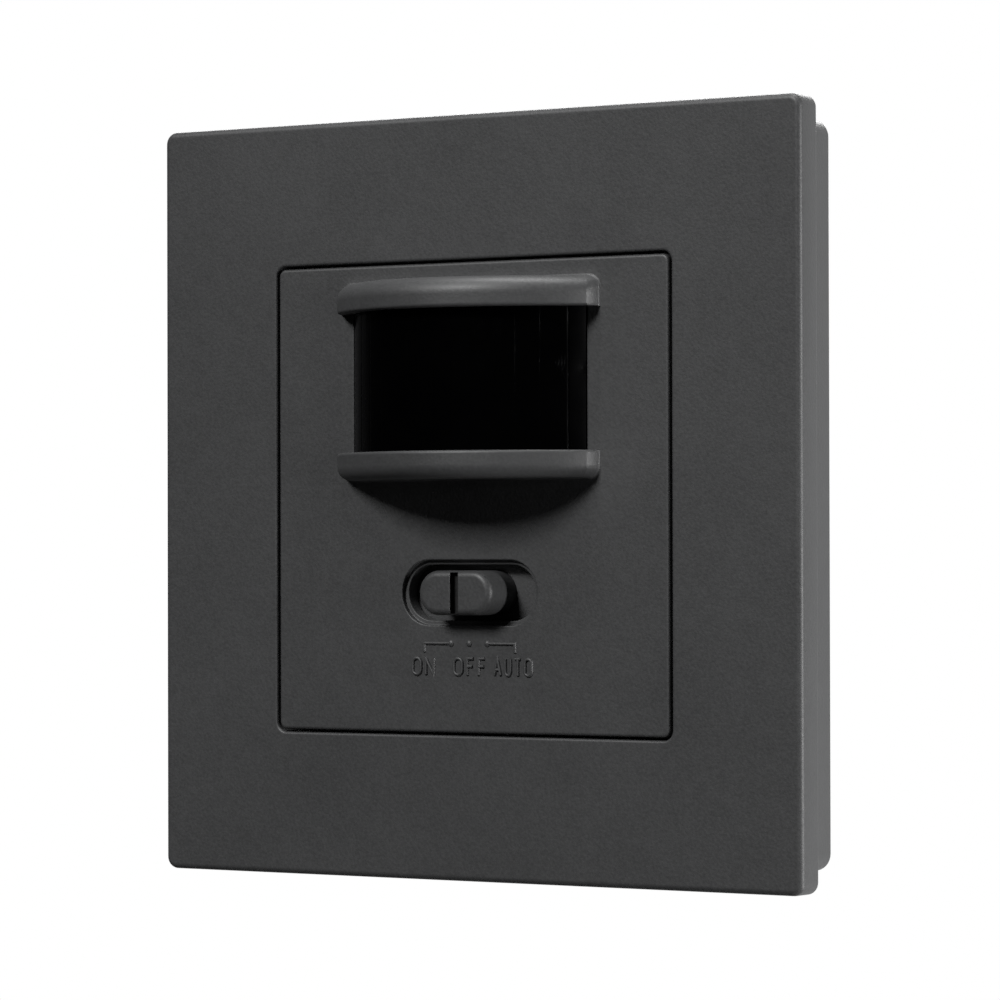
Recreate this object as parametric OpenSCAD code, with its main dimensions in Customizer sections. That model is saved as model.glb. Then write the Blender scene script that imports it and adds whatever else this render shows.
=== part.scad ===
// Flush-mounted motion sensor light switch: cover frame, centre plate with a hooded lens and a
// three-position selector, and the insert that sits in the wall box behind them.
// +X is to the right, +Y goes into the wall and +Z is up. The origin is the middle of the wall
// plane, where the frame's skirt and the steel support plate meet the wall.

/* [Cover frame] */
// Depth of the frame from the wall to its front
frame_depth = 9.3; // [9:0.1:12]
// Depth of the rim that shows round the front
rim_t = 3.3; // [2.6:0.1:4.5]
// Set-back of the skirt behind the rim
skirt_inset = 2; // [1:0.1:2.6]
// Wall thickness of the skirt
skirt_wall = 1.8; // [1.2:0.1:2.2]
// Radius of the skirt's corners
skirt_corner_r = 1.8; // [0.5:0.1:3]
// Wall thickness of the frame's front
frame_face_t = 2.2; // [1.6:0.1:2.6]
// Radius of the frame's corners seen from the front
frame_corner_r = 0.9; // [0.7:0.1:3]
// Rounding along the frame's front edge
frame_edge_r = 0.6; // [0.2:0.1:0.7]
// Thickness of the ledge that the centre plate rests on
ledge_t = 1.4; // [1:0.1:1.8]
// Wall of the collar round the frame's opening
collar_wall = 1.6; // [1.2:0.1:2.4]
// Thickness of the stiffening ribs behind the front
rib_t = 1.2; // [0.8:0.1:2]
// Distance of each rib from the middle of its side
rib_x = 16; // [10:0.5:22]

/* [Centre plate] */
// Gap between the centre plate and the frame
seam = 0.3; // [0.2:0.05:0.5]
// Thickness of the centre plate
plate_t = 2; // [1.6:0.1:2.4]
// Radius of the plate's corners seen from the front
plate_corner_r = 0.8; // [0.4:0.1:1.2]
// Rounding along the plate's front edge
plate_edge_r = 0.3; // [0.1:0.05:0.4]
// Overhang of the plate past the wall behind it
plate_lip = 1.3; // [1:0.1:1.6]
// Wall thickness behind the plate
plate_wall = 1.2; // [1:0.1:1.5]
// Gap between the plate's wall and the frame's ledge
ledge_gap = 0.3; // [0.2:0.05:0.5]
// Gap between the plate's wall and the support plate
wall_end_gap = 0.5; // [0.3:0.1:0.8]
// Gap between the plate's wall and the carrier inside it
snap_fit = 0.25; // [0.15:0.05:0.4]
// Width of each snap
snap_w = 6; // [4:0.5:8]
// Height of each snap above the carrier's wall
snap_out = 0.8; // [0.5:0.1:1]
// Depth of each snap
snap_t = 1; // [0.6:0.1:1.2]
// Height of the snaps above and below the middle
snap_z = 11; // [9:0.5:13]
// Width of the slits beside each snap tongue
tongue_slit = 0.8; // [0.5:0.1:1.2]
// Strip of tongue beside and behind each snap
tongue_strip = 1.3; // [1:0.1:1.5]

/* [Hood and lens] */
// Radius of the hood's bars in plan
hood_r = 20.9; // [20.6:0.1:22]
// Distance of the hood's axis behind the plate's front
hood_axis = 11.9; // [11.4:0.1:12.2]
// Length of the bars past each side of the lens
hood_end = 1.65; // [1.4:0.05:2.2]
// Taper of each bar end
hood_end_in = 0.6; // [0.2:0.1:0.8]
// Height of the tapered bar ends above the plate
hood_end_out = 1.8; // [1.2:0.1:2.2]
// Lower edge of the lens window above the middle
window_low = 4.8; // [4.4:0.1:6]
// Upper edge of the lens window above the middle
window_high = 19.7; // [18:0.1:20]
// Height of the upper bar
upper_bar_h = 3.2; // [2.8:0.1:3.8]
// Height of the lower bar
lower_bar_h = 3.1; // [2.6:0.1:3.6]
// Rounding on the outer edge of each bar
bar_soft_r = 1.8; // [1:0.1:2.2]
// Rounding of the outer corners at the ends of each bar
bar_end_r = 1.3; // [0.6:0.1:1.6]
// Rounding on the window edge of each bar
bar_lip_r = 0.3; // [0.1:0.05:0.5]
// Set-back of the lens behind the middle of the bars
lens_set_back = 1.5; // [1:0.1:1.8]
// Half the width of the lens
lens_half = 14.75; // [14:0.05:15]
// Wall thickness of the lens
lens_t = 0.8; // [0.6:0.05:1]
// Length of lens tucked under each bar
lens_tuck = 0.6; // [0.4:0.1:1]
// Gap round the lens in the plate
lens_fit = 0.1; // [0.05:0.05:0.2]
// Width of the upright lens segments
lens_pitch = 2.15; // [1.6:0.05:3]
// Width of the middle segment
lens_mid = 1.2; // [0.8:0.1:2.4]
// Width of the grooves between the segments
lens_groove = 0.3; // [0.1:0.05:0.4]
// Width of the lens flange behind the plate
flange_w = 1.4; // [1:0.1:1.6]
// Thickness of the lens flange
flange_t = 0.7; // [0.5:0.1:0.9]
// Thickness of the retainer behind the flange
retainer_t = 0.8; // [0.6:0.1:1]
// Radius of the stakes that hold the retainer
stake_r = 0.8; // [0.6:0.05:1]
// Radius of the melted head on each stake
stake_head_r = 1.3; // [1.2:0.05:1.5]
// Thickness of the melted heads
stake_head_t = 0.4; // [0.3:0.05:0.5]
// Distance of the stakes outside the lens flange
stake_out = 2.2; // [1.8:0.1:2.6]
// Least gap beside the lens retainer, to the wall behind the plate
retainer_side = 1.8; // [1:0.1:3]
// Least gap above the lens retainer, to the wall behind the plate
retainer_top = 0.65; // [0.3:0.05:2]
// Height of the stakes above and below the lens middle
stake_z = 6; // [4:0.5:7]

/* [Selector] */
// Length of the selector slot
slot_l = 17.2; // [16:0.1:18]
// Height of the selector slot
slot_h = 6.9; // [6.5:0.1:7.6]
// Height of the slot's middle, below the plate's middle
slot_z = -10.05; // [-10.5:0.05:-9.5]
// Depth of the step round the slot
slot_step = 0.55; // [0.4:0.05:0.8]
// Width of the step round the slot
slot_ledge = 0.5; // [0.3:0.05:0.6]
// Length of the knob
knob_l = 9.2; // [8.6:0.1:9.8]
// Height of the knob
knob_h = 4.7; // [4.2:0.1:5]
// Height of the knob's face in front of the plate
knob_out = 2.9; // [2:0.1:3.4]
// Rounding along the knob's edge
knob_edge_r = 0.4; // [0.2:0.05:0.6]
// Width of the index groove in the knob
knob_groove_w = 1.0; // [0.5:0.05:1.4]
// Depth of the index groove
knob_groove_d = 0.8; // [0.4:0.05:1.2]
// Travel of the knob from its first to its last position
knob_travel = 4.6; // [4:0.1:4.8]
// Thickness of the knob's base
knob_base_t = 0.9; // [0.7:0.1:1.1]
// Width of base that stays behind the slot's rim
knob_cover = 0.8; // [0.6:0.1:1.1]
// Running gap in front of and behind the knob's base
slide_gap = 0.2; // [0.15:0.05:0.25]
// Thickness of each prong of the knob's fork
prong_t = 1.4; // [1:0.1:1.8]
// Height of the fork's prongs
prong_h = 3; // [2.4:0.1:3.4]
// Length of the switch lever held in the fork
fork_hold = 2; // [1.6:0.1:2.4]
// Gap between the fork and the switch lever
fork_gap = 0.15; // [0.05:0.05:0.2]

/* [Insert] */
// Thickness of the support plate
steel_t = 1; // [0.8:0.1:1.2]
// Gap between the support plate and the frame's skirt
steel_fit = 1.2; // [0.6:0.1:6]
// Length of the cut at each corner of the support plate
steel_cut = 10; // [6:0.5:14]
// Steel left between the support plate's opening and the screws
steel_web = 1.7; // [1.2:0.1:2]
// Distance between opposite wall-box screws
wall_screw_gap = 60; // [59:0.5:62]
// Distance from a wall-box screw to the support plate's edge
screw_edge = 5.5; // [5:0.1:6.5]
// Width of the slots for the wall-box screws
wall_slot_w = 3.6; // [3.2:0.1:4.2]
// Length of the slots for the wall-box screws
wall_slot_l = 6.4; // [5:0.1:8]
// Length of the clip windows near the support plate's corners
clip_l = 8; // [6:0.5:10]
// Width of the clip windows
clip_w = 2.6; // [2:0.1:3.2]
// Thickness of the carrier's front
carrier_t = 1.4; // [1.2:0.1:1.8]
// Thickness of the carrier's wall
carrier_wall = 1.4; // [1:0.1:1.8]
// Radius of the carrier's corners
carrier_corner_r = 1.5; // [0.5:0.1:2]
// Height of the rails behind the knob's base
rail_h = 1; // [0.9:0.1:1.2]
// Thickness of the rails
rail_t = 1; // [0.8:0.1:1.2]
// Border of the carrier in front of the lens edge
view_border = 1.2; // [0.8:0.1:2]
// Radius of the round cup in the wall box
housing_r = 27; // [26.6:0.1:28]
// Wall thickness of the cup
housing_wall = 1.6; // [1.2:0.1:1.8]
// Width of the cup's flange
housing_flange = 2; // [1:0.1:2.4]
// Thickness of the cup's flange
housing_flange_t = 1.6; // [1.2:0.1:2]
// Radius of the screw pillars in the cup
pillar_r = 2.6; // [2.2:0.1:2.8]
// Distance of each pillar inside the cup's round outline
pillar_in = 1.1; // [0.8:0.1:1.4]
// Gap between the tallest part and the cup's back wall
back_gap = 0.4; // [0.3:0.1:0.8]
// Radius of the case screws
case_screw_r = 1.25; // [1:0.05:1.4]
// Radius of the case screw heads
case_head_r = 2.2; // [1.9:0.1:2.4]
// Thickness of the case screw heads
case_head_t = 1.5; // [1.2:0.1:1.8]
// Depth of the case screws in the pillars
case_bite = 9; // [6:0.5:11]
// Gap round a screw where it passes through
screw_gap = 0.35; // [0.25:0.05:0.5]
// Gap round a screw where it bites
thread_gap = 0.05; // [0.03:0.01:0.1]
// Wall round each case screw head
post_wall = 0.8; // [0.6:0.1:1.2]
// Radius of the board screws
board_screw_r = 0.95; // [0.8:0.05:1.1]
// Radius of the board screw heads
board_head_r = 1.8; // [1.6:0.1:2]
// Thickness of the board screw heads
board_head_t = 1.2; // [1:0.1:1.4]
// Depth of the board screws in their bosses
board_bite = 5; // [3:0.5:7]
// Radius of the bosses under the board
boss_r = 2.3; // [2:0.1:2.5]

/* [Board] */
// Depth of the board's front behind the wall
board_y = 5.2; // [5:0.1:6]
// Thickness of the board
board_t = 1.6; // [1.2:0.1:1.8]
// Gap between the board and the cup
board_gap = 0.4; // [0.3:0.05:0.6]
// Strip of board left outside the outermost parts
board_margin = 1.6; // [1.2:0.1:2]
// Gap between parts on the board
part_gap = 1.2; // [1:0.1:1.4]
// Radius of the parts' leads
lead_r = 0.3; // [0.2:0.05:0.35]
// Gap round a lead in its hole
lead_gap = 0.15; // [0.1:0.05:0.2]
// Height of a part's body above the board
standoff = 0.2; // [0.1:0.05:0.3]

/* [Sensors] */
// Radius of the infrared sensor's can
pir_r = 4.1; // [3.8:0.1:4.2]
// Radius of the can's flange
pir_flange_r = 4.6; // [4.4:0.1:4.8]
// Height of the can
pir_h = 4.3; // [3.8:0.1:4.6]
// Thickness of the can's flange
pir_flange_t = 0.5; // [0.3:0.1:0.7]
// Width of the sensor's window
pir_window_w = 4; // [3.4:0.1:4.4]
// Height of the sensor's window
pir_window_h = 3; // [2.6:0.1:3.4]
// Thickness of the sensor's window
pir_window_t = 0.4; // [0.3:0.05:0.5]
// Gap round the sensor's window
pir_window_gap = 0.05; // [0.03:0.01:0.1]
// Thickness of the spacer under the can
spacer_t = 1; // [0.8:0.1:1.2]
// Radius of the circle of the sensor's leads
pir_lead_ring = 2.54; // [2.3:0.02:2.7]
// Distance of the light sensor to the right of the lens axis
ldr_x = 9.5; // [8.5:0.1:10.5]
// Radius of the light sensor
ldr_r = 2.5; // [2.2:0.1:2.7]
// Thickness of the light sensor
ldr_t = 2; // [1.6:0.1:2.4]
// Height of the light sensor above the board
ldr_h = 2.2; // [1.6:0.1:2.6]
// Distance between the light sensor's leads
ldr_lead = 3.4; // [3:0.1:3.6]

/* [Slide switch and trimmers] */
// Length of the slide switch
switch_l = 12.6; // [12:0.1:13]
// Height of the slide switch
switch_h = 6.4; // [6:0.1:6.6]
// Depth of the slide switch in front of the board
switch_d = 5; // [4.6:0.1:5.2]
// Thickness of the switch's base
switch_base_t = 0.8; // [0.6:0.1:1]
// Wall of the switch's sheet case
switch_wall = 0.4; // [0.3:0.05:0.5]
// Distance between the switch's leads along its length
switch_pitch = 3; // [2.8:0.1:3.1]
// Distance of the switch's leads from its middle line
switch_row = 1.6; // [1.4:0.1:1.7]
// Width of the lever's stem
lever_w = 1.8; // [1.6:0.1:2]
// Height of the lever's stem
lever_h = 2.2; // [2:0.1:2.3]
// Length of the stem in front of the switch
lever_out = 3.6; // [3.2:0.1:3.8]
// Length of the lever's block inside the switch
block_l = 4.6; // [4.2:0.1:5]
// Height of the lever's block
block_h = 4.8; // [4.4:0.1:5]
// Thickness of the lever's block
block_t = 1.8; // [1.4:0.1:2]
// Thickness of the wiper spring
wiper_t = 0.2; // [0.15:0.05:0.25]
// Length of the wiper spring
wiper_l = 3.6; // [3.4:0.1:3.8]
// Height of the wiper spring
wiper_h = 1.6; // [1.2:0.1:2]
// Gap inside the switch and round its lever
switch_gap = 0.2; // [0.15:0.05:0.25]
// Gap between the trimmer dials and the support plate's opening
dial_edge = 1.3; // [1.1:0.1:1.6]
// Angle of the trimmers below the level line through the middle
trimmer_angle = 32; // [31:0.5:33]
// Width and height of a trimmer's body
trimmer_w = 6.8; // [6.4:0.1:7]
// Depth of a trimmer's body
trimmer_d = 3.6; // [3.2:0.1:4]
// Radius of a trimmer's dial
dial_r = 2.7; // [2.4:0.1:2.9]
// Radius of a dial's shaft
dial_shaft_r = 1.4; // [1.2:0.05:1.6]
// Length of a dial's shaft
dial_shaft_l = 2.4; // [2:0.1:2.8]
// Gap round a dial's shaft
dial_fit = 0.08; // [0.05:0.01:0.1]
// Gap between a dial and the pieces round it
dial_gap = 0.4; // [0.3:0.05:0.5]
// Gap between a dial and its trimmer's body
dial_seat = 0.2; // [0.15:0.05:0.3]
// Set-back of a dial behind the carrier's front
dial_recess = 0.6; // [0.4:0.1:1]
// Width of the screwdriver slot in a dial
dial_slot_w = 0.9; // [0.6:0.1:1.1]
// Depth of the screwdriver slot
dial_slot_d = 0.9; // [0.6:0.1:1.1]
// Distance of a trimmer's leads from its middle
trimmer_lead = 2.5; // [2.3:0.1:2.6]
// Length of the control chip
chip_l = 9.9; // [9:0.1:10.2]
// Height of the control chip
chip_h = 3.9; // [3.6:0.1:4.2]
// Thickness of the control chip
chip_t = 1.5; // [1.3:0.05:1.7]
// Height of the chip's middle above the middle
chip_z = 1; // [0.5:0.1:1.5]
// Leads along each side of the chip
chip_leads = 8; // [6:1:8]
// Distance between the chip's leads
chip_pitch = 1.2; // [1:0.05:1.27]
// Length of a chip resistor
resistor_l = 3.2; // [2.8:0.1:3.4]
// Height of a chip resistor
resistor_h = 1.6; // [1.4:0.1:1.8]
// Thickness of a chip resistor
resistor_t = 0.6; // [0.5:0.05:0.7]
// Distance between chip resistors, one above the other
resistor_pitch = 2.4; // [2.2:0.1:2.6]

/* [Power parts] */
// Length of the relay
relay_w = 18.4; // [18:0.1:19]
// Height of the relay
relay_h = 10.2; // [10:0.1:10.6]
// Depth of the relay behind the board
relay_d = 15; // [14:0.1:15.5]
// Length of the film capacitor
film_w = 18; // [17.5:0.1:18.5]
// Height of the film capacitor
film_h = 7; // [6:0.1:8]
// Depth of the film capacitor
film_d = 12; // [10:0.1:13]
// Distance between the film capacitor's leads
film_lead = 15; // [14:0.1:15.5]
// Radius of the larger electrolytic capacitor
big_cap_r = 4; // [3.8:0.05:4.2]
// Radius of the smaller electrolytic capacitor
small_cap_r = 3.15; // [3:0.05:3.3]
// Height of the electrolytic capacitors
cap_d = 12; // [11:0.1:13]
// Distance between a capacitor's leads
cap_lead = 2.5; // [2:0.1:2.6]
// Radius of the choke
choke_r = 3.5; // [3.2:0.05:3.7]
// Height of the choke
choke_d = 9; // [8:0.1:10]
// Radius of the fuse
fuse_r = 4.2; // [4:0.05:4.3]
// Height of the fuse
fuse_d = 7.7; // [7:0.1:8.2]
// Distance between the leads of the fuse, the varistor and the choke
disc_lead = 5; // [4.8:0.02:5.2]
// Length of the bridge rectifier
bridge_w = 8.3; // [8:0.1:8.6]
// Height of the bridge rectifier
bridge_h = 6.4; // [6:0.1:6.6]
// Depth of the bridge rectifier
bridge_d = 3.2; // [2.8:0.1:3.5]
// Radius of the varistor's disc
varistor_r = 4.5; // [4.2:0.1:4.7]
// Thickness of the varistor's disc
varistor_t = 4; // [3.4:0.1:4.4]

/* [Terminals] */
// Distance between the wire terminals
terminal_pitch = 7.4; // [7.2:0.1:7.8]
// Height of the terminal block
terminal_h = 8.5; // [8.2:0.1:9]
// Depth of the terminal block
terminal_d = 12; // [11.4:0.1:13]
// Wall thickness of the terminal block
terminal_wall = 1.2; // [1:0.1:1.3]
// Gap round each clamp cage
cage_gap = 0.15; // [0.1:0.05:0.2]
// Depth of each clamp cage
cage_d = 7; // [6.6:0.1:7.4]
// Width and depth of the wire entries
wire_w = 3.6; // [3.2:0.1:3.8]
// Wall of the clamp cages behind the wire
cage_wall = 0.9; // [0.7:0.1:1.1]
// Radius of the terminal screws
clamp_screw_r = 1.4; // [1.2:0.05:1.5]
// Radius of the terminal screw heads
clamp_head_r = 2.4; // [2.2:0.05:2.5]
// Thickness of the terminal screw heads
clamp_head_t = 1.8; // [1.4:0.1:2]
// Gap under the terminal screw heads
clamp_open = 0.3; // [0.1:0.05:0.5]
// Length of screw inside the wire entry
clamp_reach = 1.2; // [0.8:0.1:1.6]
// Radius of the screwdriver holes in the cup
driver_r = 1.9; // [1.6:0.05:1.95]
// Wall of the wire guides in the cup
guide_wall = 0.8; // [0.6:0.1:1]
// Gap between the wire guides and the terminal block
guide_gap = 0.2; // [0.1:0.05:0.3]

/* [Hidden] */
$fn = 64;
// Overrun of every cut past the surface that it opens
cut = 1;

// Depths from the front of the plate to the wall
front_y = -frame_depth;
rim_back_y = front_y + rim_t;
plate_back_y = front_y + plate_t;
ledge_back_y = plate_back_y + ledge_t;
flange_back_y = plate_back_y + flange_t;
retainer_back_y = flange_back_y + retainer_t;
knob_base_y = plate_back_y + slide_gap;
knob_face_y = front_y - knob_out;
knob_back_y = knob_base_y + knob_base_t;
rail_y = knob_back_y + slide_gap;
carrier_y = rail_y + rail_h;
carrier_back_y = carrier_y + carrier_t;
steel_y = -steel_t;
board_back_y = board_y + board_t;

// Hood and lens
hood_y = front_y + hood_axis;
hood_out = hood_r - hood_axis;
hood_half = lens_half + hood_end;
lens_out = hood_out - lens_set_back;
lens_r = (pow(lens_half, 2) + pow(lens_out, 2)) / (2 * lens_out);
lens_y = front_y - lens_out + lens_r;
lens_low = window_low - lens_tuck;
lens_high = window_high + lens_tuck;
lens_z = (lens_low + lens_high) / 2;
flange_half = lens_half + flange_w;
flange_h = lens_high - lens_low + 2 * flange_w;
lens_in_r = lens_r - lens_t;
groove_h = lens_high - lens_low - 2 * (lens_t + lens_groove);
grooves_x = [for (x = [lens_mid / 2:lens_pitch:lens_half - lens_t - lens_groove], s = [-1, 1]) s * x];
stake_x = flange_half + stake_out;

// Outlines that fit into each other: the frame round the support plate, the plate round the lens
steel_w = wall_screw_gap + 2 * screw_edge;
hollow_w = steel_w + 2 * steel_fit;
skirt_w = hollow_w + 2 * skirt_wall;
frame_w = skirt_w + 2 * skirt_inset;
hollow_r = max(skirt_corner_r - skirt_wall, 0.5);
wall_in_w = 2 * max(stake_x + stake_out + retainer_side, lens_high + flange_w + retainer_top);
wall_w = wall_in_w + 2 * plate_wall;
plate_w = wall_w + 2 * plate_lip;
hole_w = plate_w + 2 * seam;
hole_r = plate_corner_r + seam;
collar_w = hole_w + 2 * collar_wall;
ledge_w = wall_w + 2 * ledge_gap;
carrier_w = wall_in_w - 2 * snap_fit;
carrier_in_w = carrier_w - 2 * carrier_wall;
wall_end_y = steel_y - wall_end_gap;
snap_back_y = wall_end_y - tongue_strip;
snap_y = snap_back_y - snap_t;

// Selector: rest is the middle position
slot_in_l = slot_l - 2 * slot_ledge;
slot_in_h = slot_h - 2 * slot_ledge;
knob_base_l = slot_in_l + knob_travel + 2 * knob_cover;
knob_base_h = slot_in_h + 2 * knob_cover;
fork_in = lever_w + 2 * fork_gap;
fork_l = fork_in + 2 * prong_t;
switch_y = board_y - switch_d;
lever_y = switch_y - lever_out;
fork_end_y = lever_y + fork_hold;
switch_base_y = board_y - switch_base_t;
block_y = switch_y + switch_wall + switch_gap;
wiper_y = block_y + block_t;

// Rows of parts on the back of the board, from the top down
row_a_h = 2 * big_cap_r;
row_c_h = 2 * fuse_r;
board_w = relay_w + part_gap + film_w + 2 * board_margin;
board_h = row_a_h + relay_h + row_c_h + terminal_h + 3 * part_gap + 2 * board_margin;
row_a_z = board_h / 2 - board_margin - row_a_h / 2;
row_b_z = row_a_z - row_a_h / 2 - part_gap - relay_h / 2;
row_c_z = row_b_z - relay_h / 2 - part_gap - row_c_h / 2;
terminal_z = row_c_z - row_c_h / 2 - part_gap - terminal_h / 2;
relay_x = -board_w / 2 + board_margin + relay_w / 2;
film_x = board_w / 2 - board_margin - film_w / 2;
row_a_w = 2 * (big_cap_r + small_cap_r + choke_r) + 2 * part_gap;
big_cap_x = -row_a_w / 2 + big_cap_r;
small_cap_x = big_cap_x + big_cap_r + part_gap + small_cap_r;
choke_x = row_a_w / 2 - choke_r;
row_c_w = 2 * fuse_r + bridge_w + 2 * varistor_r + 2 * part_gap;
fuse_x = -row_c_w / 2 + fuse_r;
bridge_x = fuse_x + fuse_r + part_gap + bridge_w / 2;
varistor_x = row_c_w / 2 - varistor_r;
terminals_x = [for (i = [-1:1]) i * terminal_pitch];
part_y = board_back_y + standoff;

// Cup round the board, as deep as its tallest part
cup_in_w = board_w + 2 * board_gap;
cup_in_h = board_h + 2 * board_gap;
cup_w = cup_in_w + 2 * housing_wall;
cup_h = cup_in_h + 2 * housing_wall;
cup_in_r = housing_r - housing_wall;
cup_floor_y = part_y + max(relay_d, film_d, cap_d, terminal_d, 2 * varistor_r) + back_gap;
cup_back_y = cup_floor_y + housing_wall;
screw_ring = housing_r - pillar_r - pillar_in;
screw_xz = screw_ring / sqrt(2);
steel_hole_r = screw_ring - case_screw_r - screw_gap - steel_web;
trimmer_ring = steel_hole_r - dial_r - dial_edge;
trimmer_x = trimmer_ring * cos(trimmer_angle);
trimmer_z = -trimmer_ring * sin(trimmer_angle);
post_r = case_head_r + screw_gap + post_wall;
head_y = carrier_y + case_head_t;
boss_x = cup_in_w / 2 - boss_r;
boss_z = row_c_z + row_c_h / 2 - boss_r;

// Wire terminals
chamber_w = terminal_pitch - terminal_wall;
chamber_h = terminal_h - 2 * terminal_wall;
block_w = 2 * terminal_pitch + chamber_w + 2 * terminal_wall;
cage_w = chamber_w - 2 * cage_gap;
cage_h = chamber_h - 2 * cage_gap;
cage_y = part_y + terminal_wall + cage_gap;
wire_y = cage_y + cage_wall + wire_w / 2;
clamp_head_y = cage_y + cage_d + clamp_open;
terminal_low = terminal_z - terminal_h / 2;

// Points where leads pass through the board, in X and Z
pir_leads = [for (a = [30, 150, 270]) [pir_lead_ring * cos(a), lens_z + pir_lead_ring * sin(a)]];
ldr_leads = [for (s = [-1, 1]) [ldr_x + s * ldr_lead / 2, lens_z]];
switch_leads = [for (i = [-1.5:1.5], s = [-1, 1]) [i * switch_pitch, slot_z + s * switch_row]];
relay_leads = concat(
    [for (x = [-0.42, 0], s = [-1, 1]) [relay_x + x * relay_w, row_b_z + s * 0.3 * relay_h]],
    [[relay_x + 0.42 * relay_w, row_b_z]]);
film_leads = [for (s = [-1, 1]) [film_x + s * film_lead / 2, row_b_z]];
cap_leads = [for (x = [big_cap_x, small_cap_x], s = [-1, 1]) [x + s * cap_lead / 2, row_a_z]];
choke_leads = [for (s = [-1, 1]) [choke_x + s * disc_lead / 2, row_a_z]];
fuse_leads = [for (s = [-1, 1]) [fuse_x + s * disc_lead / 2, row_c_z]];
varistor_leads = [for (s = [-1, 1]) [varistor_x + s * disc_lead / 2, row_c_z]];
bridge_leads = [for (sx = [-1, 1], sz = [-1, 1])
    [bridge_x + sx * bridge_w * 0.3, row_c_z + sz * bridge_h * 0.35]];
terminal_leads = [for (x = terminals_x) [x, terminal_z]];
function trimmer_leads(x) = [
    [x - trimmer_lead, trimmer_z - trimmer_lead],
    [x + trimmer_lead, trimmer_z - trimmer_lead],
    [x, trimmer_z + trimmer_lead]];
all_leads = concat(pir_leads, ldr_leads, switch_leads, trimmer_leads(-trimmer_x),
    trimmer_leads(trimmer_x), relay_leads, film_leads, cap_leads, choke_leads, fuse_leads,
    varistor_leads, bridge_leads, terminal_leads);

// Colours
anthracite = "#3f4042";
lens_black = "#101113";
inner_grey = "#6a6c70";
steel = "#b9bcc0";
brass = "#c8a14e";
tinned = "#cfd2d4";
board_green = "#1e6b3a";

// Extrudes an outline drawn in X and Z from depth y0 to depth y1
module between(y0, y1)
    translate([0, y1, 0]) rotate([90, 0, 0]) linear_extrude(y1 - y0) children();

// Rounded rectangle with true arcs at its corners
module rounded(w, h, r) {
    square([w - 2 * r, h], center = true);
    square([w, h - 2 * r], center = true);
    for (sx = [-1, 1], sz = [-1, 1])
        translate([sx * (w / 2 - r), sz * (h / 2 - r)]) circle(r);
}

// Slot outline with half-round ends
module stadium(l, h) {
    square([l - h, h], center = true);
    for (s = [-1, 1])
        translate([s * (l - h) / 2, 0]) circle(h / 2);
}

// Round post of height t whose top edge is rounded by e
module soft_post(r, t, e)
    rotate_extrude($fn = 32)
        polygon(concat([[0, 0], [r, 0]],
            [for (a = [0:15:90]) [r - e + e * cos(a), t - e + e * sin(a)]], [[0, t]]));

// Slab with corners of radius r and a front edge rounded by e, its front at depth y0
module soft_slab(w, h, y0, t, r, e)
    translate([0, y0 + t, 0]) rotate([90, 0, 0]) hull()
        for (sx = [-1, 1], sz = [-1, 1])
            translate([sx * (w / 2 - r), sz * (h / 2 - r), 0]) soft_post(r, t, e);

// Repeats a drawing at the four case screws
module at_case_screws()
    for (sx = [-1, 1], sz = [-1, 1])
        translate([sx * screw_xz, sz * screw_xz]) children();

// Repeats a drawing at the two board screws
module at_board_screws()
    for (s = [-1, 1])
        translate([s * boss_x, boss_z]) children();

// Round leads at the given points
module leads(points, y0, y1)
    between(y0, y1)
        for (p = points) translate(p) circle(lead_r);

// Frame: rim with a rounded front edge, skirt behind it, ledge and ribs inside
module frame_hollow()
    difference() {
        between(front_y + frame_face_t, cut) rounded(hollow_w, hollow_w, hollow_r);
        between(front_y, ledge_back_y) rounded(collar_w, collar_w, hole_r + collar_wall);
        for (a = [0:90:270], s = [-1, 1])
            rotate([0, a, 0]) between(front_y, ledge_back_y)
                translate([s * rib_x, frame_w / 4]) square([rib_t, frame_w / 2], center = true);
    }

module cover_frame()
    color(anthracite) difference() {
        union() {
            soft_slab(frame_w, frame_w, front_y, rim_t, frame_corner_r, frame_edge_r);
            between(rim_back_y, 0) rounded(skirt_w, skirt_w, skirt_corner_r);
        }
        frame_hollow();
        between(front_y - cut, plate_back_y) rounded(hole_w, hole_w, hole_r);
        between(front_y - cut, cut) rounded(ledge_w, ledge_w, plate_corner_r);
    }

// Bar of the hood: a revolved section trimmed by its tapered ends and rounded corners
module bar_section(z0, z1, r0, r1) {
    translate([0, z0 + r0]) square([hood_r, z1 - z0 - r0 - r1]);
    translate([0, z0]) square([hood_r - r0, r0]);
    translate([0, z1 - r1]) square([hood_r - r1, r1]);
    translate([hood_r - r0, z0 + r0]) circle(r0);
    translate([hood_r - r1, z1 - r1]) circle(r1);
}

module bar_front(z0, z1, r0, r1) {
    translate([-hood_half, z0 + r0]) square([2 * hood_half, z1 - z0 - r0 - r1]);
    translate([r0 - hood_half, z0]) square([2 * (hood_half - r0), r0]);
    translate([r1 - hood_half, z1 - r1]) square([2 * (hood_half - r1), r1]);
    for (s = [-1, 1]) {
        translate([s * (hood_half - r0), z0 + r0]) circle(r0);
        translate([s * (hood_half - r1), z1 - r1]) circle(r1);
    }
}

module bar_plan() {
    end_x = hood_half - hood_end_in;
    tip_y = front_y - hood_out - cut;
    polygon([[-hood_half, plate_back_y], [-hood_half, front_y], [-end_x, front_y - hood_end_out],
        [-end_x, tip_y], [end_x, tip_y], [end_x, front_y - hood_end_out], [hood_half, front_y],
        [hood_half, plate_back_y]]);
}

module bar(z0, z1, r0, r1, e0, e1)
    intersection() {
        translate([0, hood_y, 0]) rotate_extrude() bar_section(z0, z1, r0, r1);
        translate([0, 0, z0 - cut]) linear_extrude(z1 - z0 + 2 * cut) bar_plan();
        between(front_y - hood_out - cut, plate_back_y) bar_front(z0, z1, e0, e1);
    }

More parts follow.
